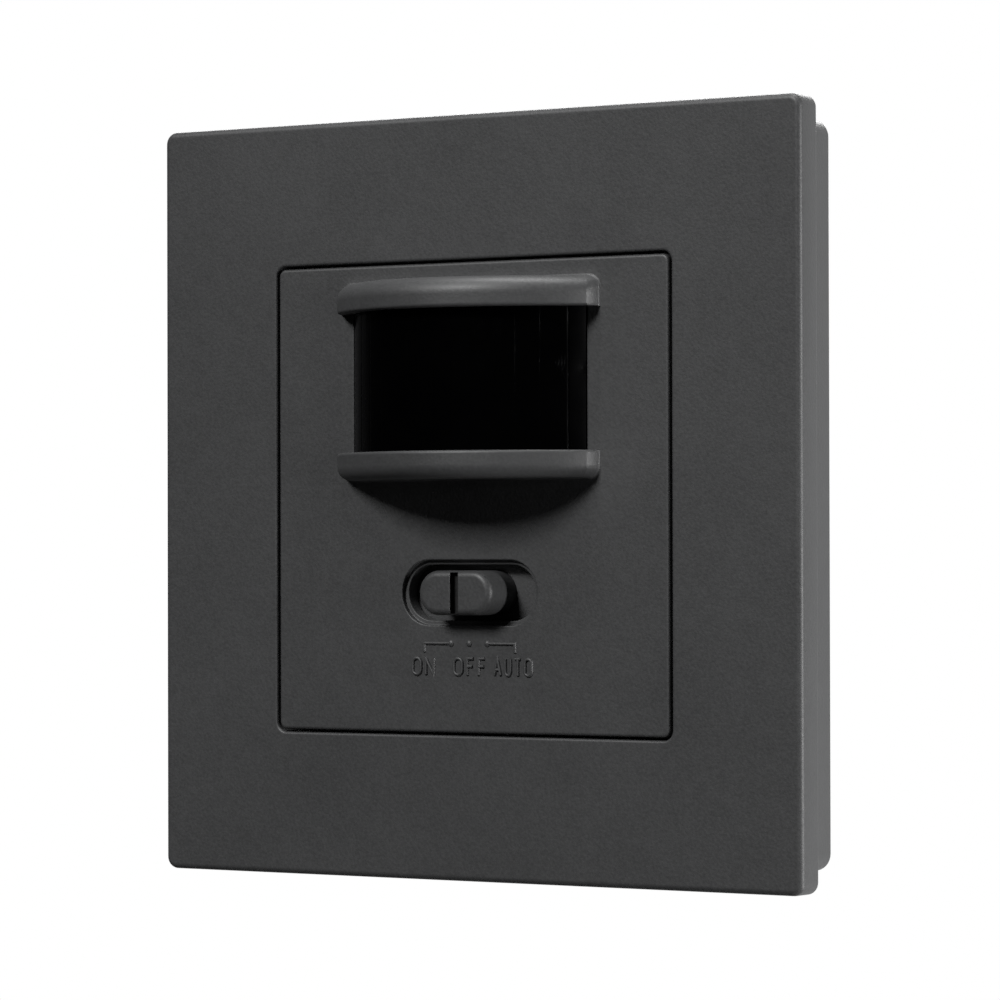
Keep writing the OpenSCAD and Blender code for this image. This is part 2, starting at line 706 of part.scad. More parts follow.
// Space of the lens, grown by g on every side, back to depth y1
module lens_space(g, y1)
    intersection() {
        translate([0, lens_y, lens_low - g]) cylinder(r = lens_r + g, h = lens_high - lens_low + 2 * g);
        between(front_y - hood_out - cut, y1)
            translate([0, lens_z])
                square([2 * (lens_half + g), lens_high - lens_low + 2 * g + cut], center = true);
    }

// Places of the stakes that hold the lens retainer
module at_stakes()
    for (sx = [-1, 1], sz = [-1, 1])
        translate([sx * stake_x, lens_z + sz * stake_z]) children();

// Slits and windows that make the snap tongues in the plate's side walls
module snap_cuts()
    for (sx = [-1, 1], sz = [-1, 1]) {
        tongue_w = snap_w + 2 * snap_fit + 2 * tongue_strip;
        wall_x = sx * (wall_w - plate_wall) / 2;
        between(snap_y - snap_fit, snap_back_y + snap_fit / 2)
            translate([wall_x, sz * snap_z]) square([plate_wall + cut, snap_w + 2 * snap_fit], center = true);
        for (s = [-1, 1])
            between(snap_y - tongue_strip, wall_end_y + cut)
                translate([wall_x, sz * snap_z + s * (tongue_w + tongue_slit) / 2])
                    square([plate_wall + cut, tongue_slit], center = true);
    }

module centre_plate()
    color(anthracite) difference() {
        union() {
            soft_slab(plate_w, plate_w, front_y, plate_t, plate_corner_r, plate_edge_r);
            between(plate_back_y, wall_end_y) difference() {
                rounded(wall_w, wall_w, plate_corner_r);
                square(wall_in_w, center = true);
            }
            bar(window_high, window_high + upper_bar_h, bar_lip_r, bar_soft_r,
                bar_lip_r, bar_end_r);
            bar(window_low - lower_bar_h, window_low, bar_soft_r, bar_lip_r,
                bar_end_r, bar_lip_r);
            between(plate_back_y, retainer_back_y) at_stakes() circle(stake_r);
            between(retainer_back_y, retainer_back_y + stake_head_t) at_stakes() circle(stake_head_r);
        }
        lens_space(lens_fit, plate_back_y + cut);
        between(front_y - cut, front_y + slot_step) translate([0, slot_z]) stadium(slot_l, slot_h);
        between(front_y, plate_back_y + cut) translate([0, slot_z]) stadium(slot_in_l, slot_in_h);
        snap_cuts();
    }

// Lens: curved tray with a flange, grooved inside between its segments
module fresnel_lens()
    color(lens_black) difference() {
        union() {
            lens_space(0, flange_back_y);
            between(plate_back_y, flange_back_y) translate([0, lens_z])
                rounded(2 * flange_half, flange_h, flange_w);
        }
        lens_space(-lens_t, flange_back_y + cut);
        for (x = grooves_x)
            translate([0, lens_y, lens_z]) rotate([0, 0, asin(x / lens_in_r)])
                translate([0, -lens_in_r, 0]) rotate([0, 0, 45])
                    cube([lens_groove, lens_groove, groove_h], center = true);
    }

module lens_retainer()
    color(inner_grey) between(flange_back_y, retainer_back_y) difference() {
        union() {
            translate([0, lens_z]) rounded(2 * flange_half, flange_h, flange_w);
            at_stakes() circle(stake_out);
            for (s = [-1, 1])
                translate([0, lens_z + s * stake_z]) square([2 * stake_x, 2 * stake_out], center = true);
        }
        translate([0, lens_z])
            square([2 * (lens_half - lens_t), lens_high - lens_low - 2 * lens_t], center = true);
        at_stakes() circle(stake_r + lens_fit);
    }

// Selector: grooved pill on a base that covers the slot, with a fork behind for the switch lever
module selector_knob()
    color(anthracite) translate([0, 0, slot_z]) {
        difference() {
            translate([0, knob_back_y, 0]) rotate([90, 0, 0]) hull()
                for (s = [-1, 1])
                    translate([s * (knob_l - knob_h) / 2, 0, 0])
                        soft_post(knob_h / 2, knob_back_y - knob_face_y, knob_edge_r);
            between(knob_face_y - cut, knob_face_y + knob_groove_d)
                square([knob_groove_w, knob_h + cut], center = true);
        }
        between(knob_base_y, knob_back_y) rounded(knob_base_l, knob_base_h, knob_cover);
        between(knob_back_y, fork_end_y) difference() {
            square([fork_l, prong_h], center = true);
            square([fork_in, prong_h + cut], center = true);
        }
    }

// Carrier: inner cover with snaps, screw posts, slide rails and openings
module front_carrier() {
    rail_z = knob_base_h / 2 - rail_t / 2;
    fork_way = fork_l + knob_travel + 2 * dial_gap;
    color(inner_grey) difference() {
        union() {
            between(carrier_y, carrier_back_y) rounded(carrier_w, carrier_w, carrier_corner_r);
            between(carrier_y, steel_y) difference() {
                rounded(carrier_w, carrier_w, carrier_corner_r);
                square(carrier_in_w, center = true);
            }
            between(carrier_y, steel_y) at_case_screws() circle(post_r);
            for (s = [-1, 1])
                between(rail_y, carrier_y) translate([0, slot_z + s * rail_z])
                    square([knob_base_l, rail_t], center = true);
            between(snap_y, snap_back_y) for (sx = [-1, 1], sz = [-1, 1])
                translate([sx * (carrier_w - carrier_wall + snap_out) / 2, sz * snap_z])
                    square([carrier_wall + snap_out, snap_w], center = true);
        }
        between(carrier_y - cut, carrier_back_y + cut) {
            translate([0, lens_z]) square([2 * (lens_half - view_border),
                lens_high - lens_low - 2 * view_border], center = true);
            translate([0, slot_z]) square([fork_way, prong_h + 2 * dial_gap], center = true);
            for (s = [-1, 1])
                translate([s * trimmer_x, trimmer_z]) circle(dial_r + dial_gap);
        }
        between(carrier_y - cut, head_y) at_case_screws() circle(case_head_r + screw_gap);
        between(carrier_y - cut, steel_y + cut) at_case_screws() circle(case_screw_r + screw_gap);
    }
}

// Steel support plate with slots for the wall-box screws on both lines
module support_plate()
    color(steel) between(steel_y, 0) difference() {
        intersection() {
            square(steel_w, center = true);
            rotate(45) square((2 * steel_w - steel_cut) / sqrt(2), center = true);
        }
        circle(steel_hole_r);
        at_case_screws() circle(case_screw_r + screw_gap);
        for (a = [0:90:270])
            rotate(a) translate([wall_screw_gap / 2, 0]) stadium(wall_slot_l, wall_slot_w);
        for (a = [45:90:315])
            rotate(a) translate([housing_r + housing_flange + clip_l / 2, 0]) rotate(90)
                square([clip_l, clip_w], center = true);
    }

// Outline of the cup: a rectangle trimmed by the round of the wall box
module cup_outline(w, h, r)
    intersection() {
        square([w, h], center = true);
        circle(r);
    }

module wire_guides(w, z0, z1)
    for (x = terminals_x)
        translate([x - w / 2, wire_y - w / 2, z0]) cube([w, w, z1 - z0]);

module rear_housing()
    color("#2b2c2f") difference() {
        union() {
            difference() {
                union() {
                    between(0, cup_back_y) cup_outline(cup_w, cup_h, housing_r);
                    between(0, housing_flange_t) cup_outline(cup_w + 2 * housing_flange,
                        cup_h + 2 * housing_flange, housing_r + housing_flange);
                }
                between(-cut, cup_floor_y) cup_outline(cup_in_w, cup_in_h, cup_in_r);
            }
            between(0, cup_floor_y) at_case_screws() circle(pillar_r);
            between(board_back_y, cup_floor_y) at_board_screws() circle(boss_r);
            wire_guides(wire_w + 2 * guide_wall, -cup_in_h / 2, terminal_low - guide_gap);
        }
        between(-cut, case_bite + cut) at_case_screws() circle(case_screw_r + thread_gap);
        between(board_back_y - cut, board_back_y + board_bite + cut)
            at_board_screws() circle(board_screw_r + thread_gap);
        wire_guides(wire_w, -cup_h / 2 - cut, terminal_low);
        between(cup_floor_y - cut, cup_back_y + cut)
            for (x = terminals_x) translate([x, terminal_z]) circle(driver_r);
    }

// Screw along Y with its head at depth y0, a shank of radius r to depth y1 and a driver slot
module slotted_screw(y0, y1, r, head_r, head_t)
    difference() {
        union() {
            between(y0, y0 + head_t) circle(head_r);
            between(y0 + head_t, y1) circle(r);
        }
        between(y0 - cut, y0 + head_t / 2) square([2 * head_r + cut, head_r / 4], center = true);
    }

module case_screws()
    color(tinned) for (sx = [-1, 1], sz = [-1, 1])
        translate([sx * screw_xz, 0, sz * screw_xz])
            slotted_screw(carrier_y, case_bite, case_screw_r, case_head_r, case_head_t);

module board_screws()
    color(tinned) for (s = [-1, 1])
        translate([s * boss_x, 0, boss_z])
            slotted_screw(board_y - board_head_t, board_back_y + board_bite, board_screw_r,
                board_head_r, board_head_t);

module circuit_board()
    color(board_green) between(board_y, board_back_y) difference() {
        cup_outline(board_w, board_h, cup_in_r - board_gap);
        at_case_screws() circle(pillar_r + board_gap);
        at_board_screws() circle(board_screw_r + thread_gap);
        for (p = all_leads) translate(p) circle(lead_r + lead_gap);
    }

// Infrared sensor on its spacer, at the height of the lens middle
pir_base_y = board_y - spacer_t;
pir_top_y = pir_base_y - pir_h;

module pir_sensor_can()
    color(tinned) {
        difference() {
            union() {
                between(pir_top_y, pir_base_y) translate([0, lens_z]) circle(pir_r);
                between(pir_base_y - pir_flange_t, pir_base_y) translate([0, lens_z]) circle(pir_flange_r);
            }
            between(pir_top_y - cut, pir_top_y + pir_window_t) translate([0, lens_z])
                square([pir_window_w + 2 * pir_window_gap, pir_window_h + 2 * pir_window_gap], center = true);
        }
        leads(pir_leads, pir_base_y, board_back_y);
    }

module pir_sensor_window()
    color("#31343a") between(pir_top_y, pir_top_y + pir_window_t) translate([0, lens_z])
        square([pir_window_w, pir_window_h], center = true);

module pir_sensor_spacer()
    color("#e8e6df") between(pir_base_y, board_y) difference() {
        translate([0, lens_z]) circle(pir_flange_r);
        for (p = pir_leads) translate(p) circle(lead_r + lead_gap);
    }

// Light sensor: round body with two flats, standing on its leads
module light_sensor()
    color("#c9a27a") {
        between(board_y - ldr_h - ldr_t, board_y - ldr_h) translate([ldr_x, lens_z]) intersection() {
            circle(ldr_r);
            square([2 * ldr_r, 1.7 * ldr_r], center = true);
        }
        leads(ldr_leads, board_y - ldr_h, board_back_y);
    }

// Slide switch: sheet case, base with leads, lever and wiper
module slide_switch_case()
    color(steel) translate([0, 0, slot_z]) difference() {
        between(switch_y, switch_base_y) square([switch_l, switch_h], center = true);
        between(switch_y + switch_wall, board_y)
            square([switch_l - 2 * switch_wall, switch_h - 2 * switch_wall], center = true);
        between(switch_y - cut, board_y)
            square([lever_w + knob_travel + 2 * switch_gap, lever_h + 2 * switch_gap], center = true);
    }

module slide_switch_base()
    color("#8a5a2b") {
        between(switch_base_y, board_y) translate([0, slot_z]) square([switch_l, switch_h], center = true);
        leads(switch_leads, board_y, board_back_y);
    }

module slide_switch_lever()
    color("#e4e2da") translate([0, 0, slot_z]) {
        between(block_y, wiper_y) square([block_l, block_h], center = true);
        between(lever_y, block_y) square([lever_w, lever_h], center = true);
    }

module slide_switch_wiper()
    color(brass) translate([0, 0, slot_z]) {
        between(wiper_y, wiper_y + wiper_t) square([wiper_l, wiper_h], center = true);
        for (s = [-1, 1])
            between(wiper_y + wiper_t, switch_base_y - switch_gap / 2)
                translate([s * (wiper_l - wiper_t) / 2, 0]) square([wiper_t, wiper_h], center = true);
    }

// Trimmer body with its shaft bore, and the dial that turns in it
trimmer_y = board_y - standoff - trimmer_d;

module trimmer_body(x)
    color("#2f5fa8") {
        difference() {
            between(trimmer_y, trimmer_y + trimmer_d) translate([x, trimmer_z])
                rounded(trimmer_w, trimmer_w, trimmer_w / 12);
            between(trimmer_y - cut, trimmer_y + dial_shaft_l + dial_fit) translate([x, trimmer_z])
                circle(dial_shaft_r + dial_fit);
        }
        leads(trimmer_leads(x), trimmer_y + trimmer_d, board_back_y);
    }

module trimmer_dial(x)
    color("#d8d6cc") {
        face_y = carrier_y + dial_recess;
        difference() {
            between(face_y, trimmer_y - dial_seat) translate([x, trimmer_z]) circle(dial_r);
            between(face_y - cut, face_y + dial_slot_d) translate([x, trimmer_z])
                square([dial_slot_w, 1.5 * dial_r], center = true);
            between(face_y - cut, face_y + dial_slot_d) translate([x, trimmer_z + dial_r])
                circle(dial_slot_w / 2);
        }
        between(trimmer_y - dial_seat, trimmer_y + dial_shaft_l) translate([x, trimmer_z])
            circle(dial_shaft_r);
    }

module time_trimmer_body() trimmer_body(-trimmer_x);
module time_trimmer_dial() trimmer_dial(-trimmer_x);
module lux_trimmer_body() trimmer_body(trimmer_x);
module lux_trimmer_dial() trimmer_dial(trimmer_x);

// Control chip with gull-wing leads, and chip resistors on both sides of it
module control_chip() {
    foot = chip_h / 4;
    foot_t = chip_t / 6;
    color("#1a1b1d") translate([0, 0, chip_z]) {
        between(board_y - standoff - chip_t, board_y - standoff) square([chip_l, chip_h], center = true);
        for (i = [0:chip_leads - 1], s = [-1, 1])
            translate([(i - (chip_leads - 1) / 2) * chip_pitch, 0, 0]) {
                between(board_y - chip_t / 2 - foot_t, board_y - chip_t / 2)
                    translate([0, s * chip_h / 2]) square([lead_r, foot], center = true);
                between(board_y - chip_t / 2 - foot_t, board_y)
                    translate([0, s * (chip_h + foot) / 2]) square([lead_r, foot_t], center = true);
            }
    }
}

module chip_resistors()
    color("#3a3633") for (s = [-1, 1], i = [-1:1])
        between(board_y - resistor_t, board_y)
            translate([s * (chip_l / 2 + part_gap + resistor_l / 2), chip_z + i * resistor_pitch])
                square([resistor_l, resistor_h], center = true);

// Relay: sealed case with a stepped base
module relay()
    color("#2a5ea6") {
        between(part_y, part_y + relay_d) translate([relay_x, row_b_z])
            rounded(relay_w, relay_h, relay_h / 16);
        leads(relay_leads, board_y, part_y);
    }

module film_capacitor()
    color("#c9a736") {
        between(part_y, part_y + film_d) translate([film_x, row_b_z]) rounded(film_w, film_h, film_h / 12);
        leads(film_leads, board_y, part_y);
    }

// Electrolytic capacitors: cans with a crimped groove and a scored end
module can_capacitor(x, r)
    translate([x, part_y, row_a_z]) rotate([-90, 0, 0]) difference() {
        cylinder(r = r, h = cap_d);
        translate([0, 0, cap_d / 8]) difference() {
            cylinder(r = r + cut, h = r / 4);
            cylinder(r = 0.9 * r, h = r / 4);
        }
        for (a = [0, 90])
            translate([0, 0, cap_d]) rotate(a) cube([1.2 * r, r / 16, r / 8], center = true);
    }

module electrolytic_capacitors()
    color("#23356b") {
        can_capacitor(big_cap_x, big_cap_r);
        can_capacitor(small_cap_x, small_cap_r);
        leads(cap_leads, board_y, part_y);
    }

// Choke: winding on a drum core with two end discs
module suppression_choke()
    color("#7a3b21") {
        translate([choke_x, part_y, row_a_z]) rotate([-90, 0, 0]) {
            cylinder(r = 0.85 * choke_r, h = choke_d);
            for (z = [0, choke_d * 0.85])
                translate([0, 0, z]) cylinder(r = choke_r, h = choke_d * 0.15);
        }
        leads(choke_leads, board_y, part_y);
    }

module fuse()
    color("#24251f") {
        translate([fuse_x, part_y, row_c_z]) rotate([-90, 0, 0]) {
            cylinder(r = fuse_r, h = fuse_d * 0.85);
            cylinder(r = 0.88 * fuse_r, h = fuse_d);
        }
        leads(fuse_leads, board_y, part_y);
    }

module bridge_rectifier()
    color("#1a1b1d") {
        between(part_y, part_y + bridge_d) translate([bridge_x, row_c_z])
            square([bridge_w, bridge_h], center = true);
        leads(bridge_leads, board_y, part_y);
    }

// Varistor: coated disc standing on edge above its leads
module varistor()
    color("#2c6fb0") {
        translate([varistor_x, part_y + varistor_r, row_c_z])
            cylinder(r = varistor_r, h = varistor_t, center = true);
        leads(varistor_leads, board_y, part_y + varistor_r);
    }

// Terminal block with a chamber for each clamp cage, open at the back
module terminal_block()
    color("#d9d7cf") {
        difference() {
            between(part_y, part_y + terminal_d) translate([0, terminal_z])
                square([block_w, terminal_h], center = true);
            for (x = terminals_x)
                between(part_y + terminal_wall, part_y + terminal_d + cut) translate([x, terminal_z])
                    square([chamber_w, chamber_h], center = true);
            wire_guides(wire_w, terminal_low - cut, terminal_z);
        }
        leads(terminal_leads, board_y, part_y);
    }

module terminal_cages()
    color(brass) for (x = terminals_x)
        difference() {
            between(cage_y, cage_y + cage_d) translate([x, terminal_z])
                square([cage_w, cage_h], center = true);
            translate([x - wire_w / 2, wire_y - wire_w / 2, terminal_z - terminal_h])
                cube([wire_w, wire_w, 2 * terminal_h]);
            between(wire_y, cage_y + cage_d + cut) translate([x, terminal_z])
                circle(clamp_screw_r + thread_gap);
        }

module terminal_screws()
    color(tinned) for (x = terminals_x)
        translate([x, clamp_head_y + clamp_head_t, terminal_z]) rotate([0, 0, 180])
            slotted_screw(0, clamp_head_y + clamp_head_t - wire_y - wire_w / 2 + clamp_reach,
                clamp_screw_r, clamp_head_r, clamp_head_t);

cover_frame();
centre_plate();
fresnel_lens();
lens_retainer();
selector_knob();
front_carrier();
support_plate();
rear_housing();
case_screws();
board_screws();
circuit_board();
pir_sensor_can();
pir_sensor_window();
pir_sensor_spacer();
light_sensor();
slide_switch_case();
slide_switch_base();
slide_switch_lever();
slide_switch_wiper();
time_trimmer_body();
time_trimmer_dial();
lux_trimmer_body();
lux_trimmer_dial();
control_chip();
chip_resistors();
relay();
film_capacitor();
electrolytic_capacitors();
suppression_choke();
fuse();
bridge_rectifier();
varistor();
terminal_block();
terminal_cages();
terminal_screws();
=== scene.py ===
"""Motion sensor light switch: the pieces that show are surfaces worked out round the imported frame, and
every piece gets its finish. Lengths are in millimetres until a mesh is made, and in metres in finishes,
lamps, floor and camera. X is to the right, Y goes into the wall, Z is up, and the wall plane is Y 0."""
import math

import bmesh
import bpy
import numpy as np
from mathutils import Matrix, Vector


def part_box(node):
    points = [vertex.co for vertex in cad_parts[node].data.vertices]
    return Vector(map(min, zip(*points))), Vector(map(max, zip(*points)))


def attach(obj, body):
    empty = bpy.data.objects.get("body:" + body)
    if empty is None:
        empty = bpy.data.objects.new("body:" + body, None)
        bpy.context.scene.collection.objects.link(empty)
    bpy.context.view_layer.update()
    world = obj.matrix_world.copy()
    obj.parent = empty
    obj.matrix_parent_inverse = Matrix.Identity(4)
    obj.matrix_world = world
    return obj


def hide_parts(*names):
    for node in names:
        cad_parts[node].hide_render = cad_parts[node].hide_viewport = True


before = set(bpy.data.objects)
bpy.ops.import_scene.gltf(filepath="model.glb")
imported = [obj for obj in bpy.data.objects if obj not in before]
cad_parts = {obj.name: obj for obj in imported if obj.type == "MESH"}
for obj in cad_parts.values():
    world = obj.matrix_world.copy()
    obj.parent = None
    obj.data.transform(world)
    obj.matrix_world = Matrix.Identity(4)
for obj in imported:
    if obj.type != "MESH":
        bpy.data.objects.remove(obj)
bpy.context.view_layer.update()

MM = 0.001


def node_box(node):
    """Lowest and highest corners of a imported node, in millimetres to the third decimal."""
    return [np.round(np.array(corner) / MM, 3).tolist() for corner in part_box(node)]


frame_low, frame_high = node_box("cover_frame")
lens_low, lens_high = node_box("fresnel_lens")
knob_low, knob_high = node_box("selector_knob")
plate_high = node_box("centre_plate")[1]

# Depths, from the frame's front back towards the wall plane
PLATE_T, FACE_T, RIM_T, LEDGE_T = 2.0, 2.2, 3.3, 1.4
FRONT = frame_low[1]
PLATE_BACK = FRONT + PLATE_T
FACE_BACK = FRONT + FACE_T
RIM_BACK = FRONT + RIM_T
LEDGE_BACK = PLATE_BACK + LEDGE_T

# Rounded front edge of a slab, and how far a form starts inside the one that carries it
SLAB_EDGE, SINK = 0.12, 0.1

# Centre plate: core square, rounded corners, a strip that keeps the flat front even, and the wall behind
PLATE_CORNER, PLATE_EDGE, PLATE_STRIP, PLATE_CHAMFER = 0.8, 0.3, 0.08, 0.15
CORE = plate_high[0] - PLATE_CORNER
WALL_INSET, WALL_T, WALL_CORNER, WALL_CHAMFER = 1.3, 1.2, 0.8, 0.2
WALL_OUT = plate_high[0] - WALL_INSET
WALL_IN = WALL_OUT - WALL_T
WALL_END = plate_high[1]

# Cover frame: core squares of its section, and the corner radii round them
FRAME_CORNER, FRAME_EDGE, FRAME_STRIP, FRAME_ROUND = 1.3, 0.6, 0.1, 0.2
FRAME_CORE = frame_high[0] - FRAME_CORNER
SKIRT_INSET, SKIRT_WALL, SKIRT_CORNER = 2.0, 1.8, 1.8
SKIRT_CORE = frame_high[0] - SKIRT_INSET - SKIRT_CORNER
HOLLOW_CORNER = 0.5
HOLLOW_CORE = SKIRT_CORE + SKIRT_CORNER - SKIRT_WALL - HOLLOW_CORNER
SEAM, HOLE_LIP, COLLAR_WALL = 0.3, 0.25, 1.6
HOLE_CORNER = PLATE_CORNER + SEAM
COLLAR_CORNER = HOLE_CORNER + COLLAR_WALL
LEDGE_GAP, LEDGE_CORNER = 0.3, 0.8
LEDGE_CORE = WALL_OUT + LEDGE_GAP - LEDGE_CORNER
RIB_X, RIB_T, RIB_CORNER, RIB_SINK = 16.0, 1.2, 0.2, 0.2

# Lens: part of a cylinder about an upright axis, level with the plate's front at its sides, and a flange
LENS_OUT, LENS_T, LENS_FIT = 7.5, 0.8, 0.1
FLANGE_W, FLANGE_CHAMFER = 1.4, 0.1
FLANGE_BACK = lens_high[1]
LENS_HALF = lens_high[0] - FLANGE_W
LENS_R = (LENS_HALF ** 2 + LENS_OUT ** 2) / (2 * LENS_OUT)
LENS_Y = FRONT - LENS_OUT + LENS_R
LENS_LOW, LENS_HIGH = lens_low[2] + FLANGE_W, lens_high[2] - FLANGE_W
LENS_Z = (LENS_LOW + LENS_HIGH) / 2

# Upright segments of the lens, the lines between them, and the rings of each segment
SEGMENT_START, SEGMENT_PITCH = 0.6, 2.15
LINE_HALF, LINE_NEAR, LINE_CLEAR = 0.05, 0.14, 0.2
LINE_DEEP, INNER_LINE_DEEP = 0.035, 0.12
LAST_LINE_STEPS, LENS_STRIP = (0.45, 0.85), 0.08
RING_Z, RING_SHIFT, RING_PITCH, RING_SQUEEZE = 17.5, 0.7, 0.34, 2.4

# Hood: two bars on an arc about an upright axis, over and under the window of the lens
HOOD_AXIS, HOOD_OUT, HOOD_END, HOOD_TAPER = 11.9, 8.99, 1.65, 0.5
HOOD_Y, HOOD_R = FRONT + HOOD_AXIS, HOOD_AXIS + HOOD_OUT
HOOD_HALF = LENS_HALF + HOOD_END
HOOD_TOP_HALF = HOOD_HALF - HOOD_TAPER
BAR_LIP, BAR_CORNER, BAR_STRIP = 0.3, 1.3, 0.1
BAR_FILLET, FILLET_SHARE = 0.25, 0.6
UPPER_H, UPPER_SOFT = 3.2, 1.8
LOWER_H, LOWER_SOFT = 2.9, 1.4
LENS_COVER, WINDOW_EDGE = 0.6, 0.15
UPPER_LIP, LOWER_LIP = LENS_HIGH - LENS_COVER, LENS_LOW + LENS_COVER
LENS_TUCK = LENS_COVER + LENS_FIT
WINDOW_HALF = LENS_HALF + LENS_FIT

# Stakes that hold the lens retainer
RETAINER_BACK = node_box("lens_retainer")[1][1]
STAKE_OUT, STAKE_Z, STAKE_R = 2.2, 6.0, 0.8
STAKE_X = lens_high[0] + STAKE_OUT
STAKE_HEAD_R, STAKE_TOP_R, STAKE_HEAD_T = 1.3, 0.9, 0.4

# Stepped slot, and the box round it in the plate's grid
SLOT_Z = (knob_low[2] + knob_high[2]) / 2
SLOT_R, SLOT_SPINE, SLOT_STEP, SLOT_LEDGE = 3.45, 5.15, 0.55, 0.5
SLOT_LIP, SLOT_FOOT, SLOT_STRIP = 0.13, 0.1, 0.08
SLOT_ROOM_X, SLOT_ROOM_Z = 0.75, 0.7
SLOT_BOX_X, SLOT_BOX_Z = SLOT_SPINE + SLOT_R + SLOT_ROOM_X, SLOT_R + SLOT_ROOM_Z

# Selector: a pill with an index groove, on a base behind the plate with a fork for the switch lever
KNOB_FACE, FORK_END = knob_low[1], knob_high[1]
KNOB_SPINE, KNOB_R, KNOB_EDGE = 2.25, 2.35, 0.65
GROOVE_HALF, GROOVE_DEEP, GROOVE_LIP, GROOVE_FOOT = 0.5, 0.8, 0.12, 0.1
GROOVE_TILT = 45
GROOVE_END = KNOB_R - KNOB_EDGE * (1 - np.sin(np.radians(GROOVE_TILT)))
BASE_GAP, BASE_T, BASE_CORNER = 0.2, 0.9, 0.8
BASE_FRONT = PLATE_BACK + BASE_GAP
BASE_BACK = BASE_FRONT + BASE_T
BASE_HALF_X, BASE_HALF_Z = knob_high[0], knob_high[2] - SLOT_Z
FORK_IN, FORK_OUT, FORK_HALF_Z, FORK_CORNER = 1.05, 2.45, 1.5, 0.15

# Points on the flat of the pill that keep its shading even, and the box in its groove where shade is
# painted near black
KNOB_STRIP, KNOB_RING, KNOB_COLUMN = 0.06, 1.2, 1.4
GROOVE_SHADE_BACK, GROOVE_SHADE_EASE = 0.1, 0.01

# Raised legend: lines, words and the marks above them, and limits at the bends of a line
LEGEND_RAISE, LEGEND_LINE, LEGEND_SINK = 0.22, 0.38, 0.02
LETTER_H, WORD_Z = 2.1, -18.9
LETTER_WIDTHS = {"O": 1.43, "N": 1.36, "F": 1.17, "A": 1.4, "U": 1.25, "T": 1.2}
BEND_SHARE, BEND_LEAST = 0.3, 0.5
MARK_Z, MARK_FOOT, DOT_X, DOT_R = -15.4, -16.3, 2.3, 0.36
BRACKET_LEFT, BRACKET_RIGHT = -5.75, 5.8

# Mesh making: distances in metres, the angle in degrees
WELD, SLIVER, SMOOTH_ANGLE = 2e-6, 1e-7, 21


class Shell:
    """Gathers the surface patches of one piece and makes its mesh."""

    def __init__(self):
        self.points = []
        self.quads = []
        self.count = 0

    def patch(self, x, y, z, wrap=False, keep=None):
        """A patch is a grid of points. Quads join each point to its neighbours, wrap joins the last
        column to the first, and keep picks the cells that stay."""
        x, y, z = np.broadcast_arrays(x, y, z)
        self.points.append(np.stack([x, y, z], -1).reshape(-1, 3))
        index = np.arange(x.size).reshape(x.shape) + self.count
        if wrap:
            index = np.concatenate([index, index[:, :1]], 1)
        quads = np.stack([index[:-1, :-1], index[:-1, 1:], index[1:, 1:], index[1:, :-1]], -1)
        self.quads.append((quads if keep is None else quads[keep]).reshape(-1, 4))
        self.count += x.size

    def make(self, name, body, slot, finish, *nodes):
        """Merges equal points, turns the faces outwards, smooths all but the sharp edges and sets the
        piece on its body."""
        points, quads = np.concatenate(self.points) * MM, np.concatenate(self.quads)
        mesh = bpy.data.meshes.new(name)
        mesh.from_pydata(points.tolist(), [], quads.tolist())
        work = bmesh.new()
        work.from_mesh(mesh)
        bmesh.ops.remove_doubles(work, verts=work.verts, dist=WELD)
        bmesh.ops.dissolve_degenerate(work, edges=work.edges, dist=SLIVER)
        bmesh.ops.recalc_face_normals(work, faces=work.faces)
        work.to_mesh(mesh)
        work.free()
        mesh.shade_smooth()
        mesh.set_sharp_from_angle(angle=math.radians(SMOOTH_ANGLE))
        mesh.materials.append(finish.material)
        piece = bpy.data.objects.new(name, mesh)
        bpy.context.scene.collection.objects.link(piece)
        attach(piece, body)
        if nodes:
            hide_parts(*nodes)


def turn(start, stop, count=7):
    """Cosines and sines of evenly spaced angles, in degrees."""
    angle = np.radians(np.linspace(start, stop, count))
    return np.cos(angle), np.sin(angle)


def unit(rows):
    """Vectors scaled to length 1."""
    return rows / np.linalg.norm(rows, axis=-1, keepdims=True)


def border(shape, fan):
    """Rows and columns along a grid's edge, with outward directions: the four sides in turn, and at each
    corner a fan of directions that turns to the next side."""
    rows, columns = shape
    up, along = np.arange(rows), np.arange(columns)
    sides = [(0 * along, along, -90), (up, 0 * up + columns - 1, 0),
             (0 * along + rows - 1, along[::-1], 90), (up[::-1], 0 * up, 180)]
    corner = np.linspace(0, 90, fan + 1)[1:-1]
    row, column, angle = [], [], []
    for side_row, side_column, heading in sides:
        row.append(np.append(side_row, np.full(fan - 1, side_row[-1])))
        column.append(np.append(side_column, np.full(fan - 1, side_column[-1])))
        angle.append(heading + np.append(0 * side_row, corner))
    angle = np.radians(np.concatenate(angle))
    return np.concatenate(row), np.concatenate(column), np.cos(angle), np.sin(angle)


def square_edge(side, fan):
    """Points and outward directions round a square from -1 to 1."""
    x, z = np.meshgrid(np.linspace(-1, 1, side), np.linspace(-1, 1, side))
    row, column, out_x, out_z = border(x.shape, fan)
    return x[row, column], z[row, column], out_x, out_z


def carry_round(shell, profile, edge, half=(1, 1), centre=(0, 0), close=False):
    """Carries a profile round a rounded rectangle: each profile point is the share of the core
    rectangle, the distance outside it and the depth."""
    share, out, depth = np.array(profile, float).T[:, :, None]
    if close:
        share, out, depth = (np.concatenate([part, part[:1]]) for part in (share, out, depth))
    edge_x, edge_z, out_x, out_z = edge
    shell.patch(centre[0] + share * half[0] * edge_x + out * out_x, depth,
                centre[1] + share * half[1] * edge_z + out * out_z, wrap=True)


def quarter(core, out, depth, size, start, stop, count=6):
    """Profile points on an arc: the distance outside the core follows the cosine, the depth the sine."""
    arc = zip(*turn(start, stop, count))
    return [(core, out + size * cosine, depth + size * sine) for cosine, sine in arc]


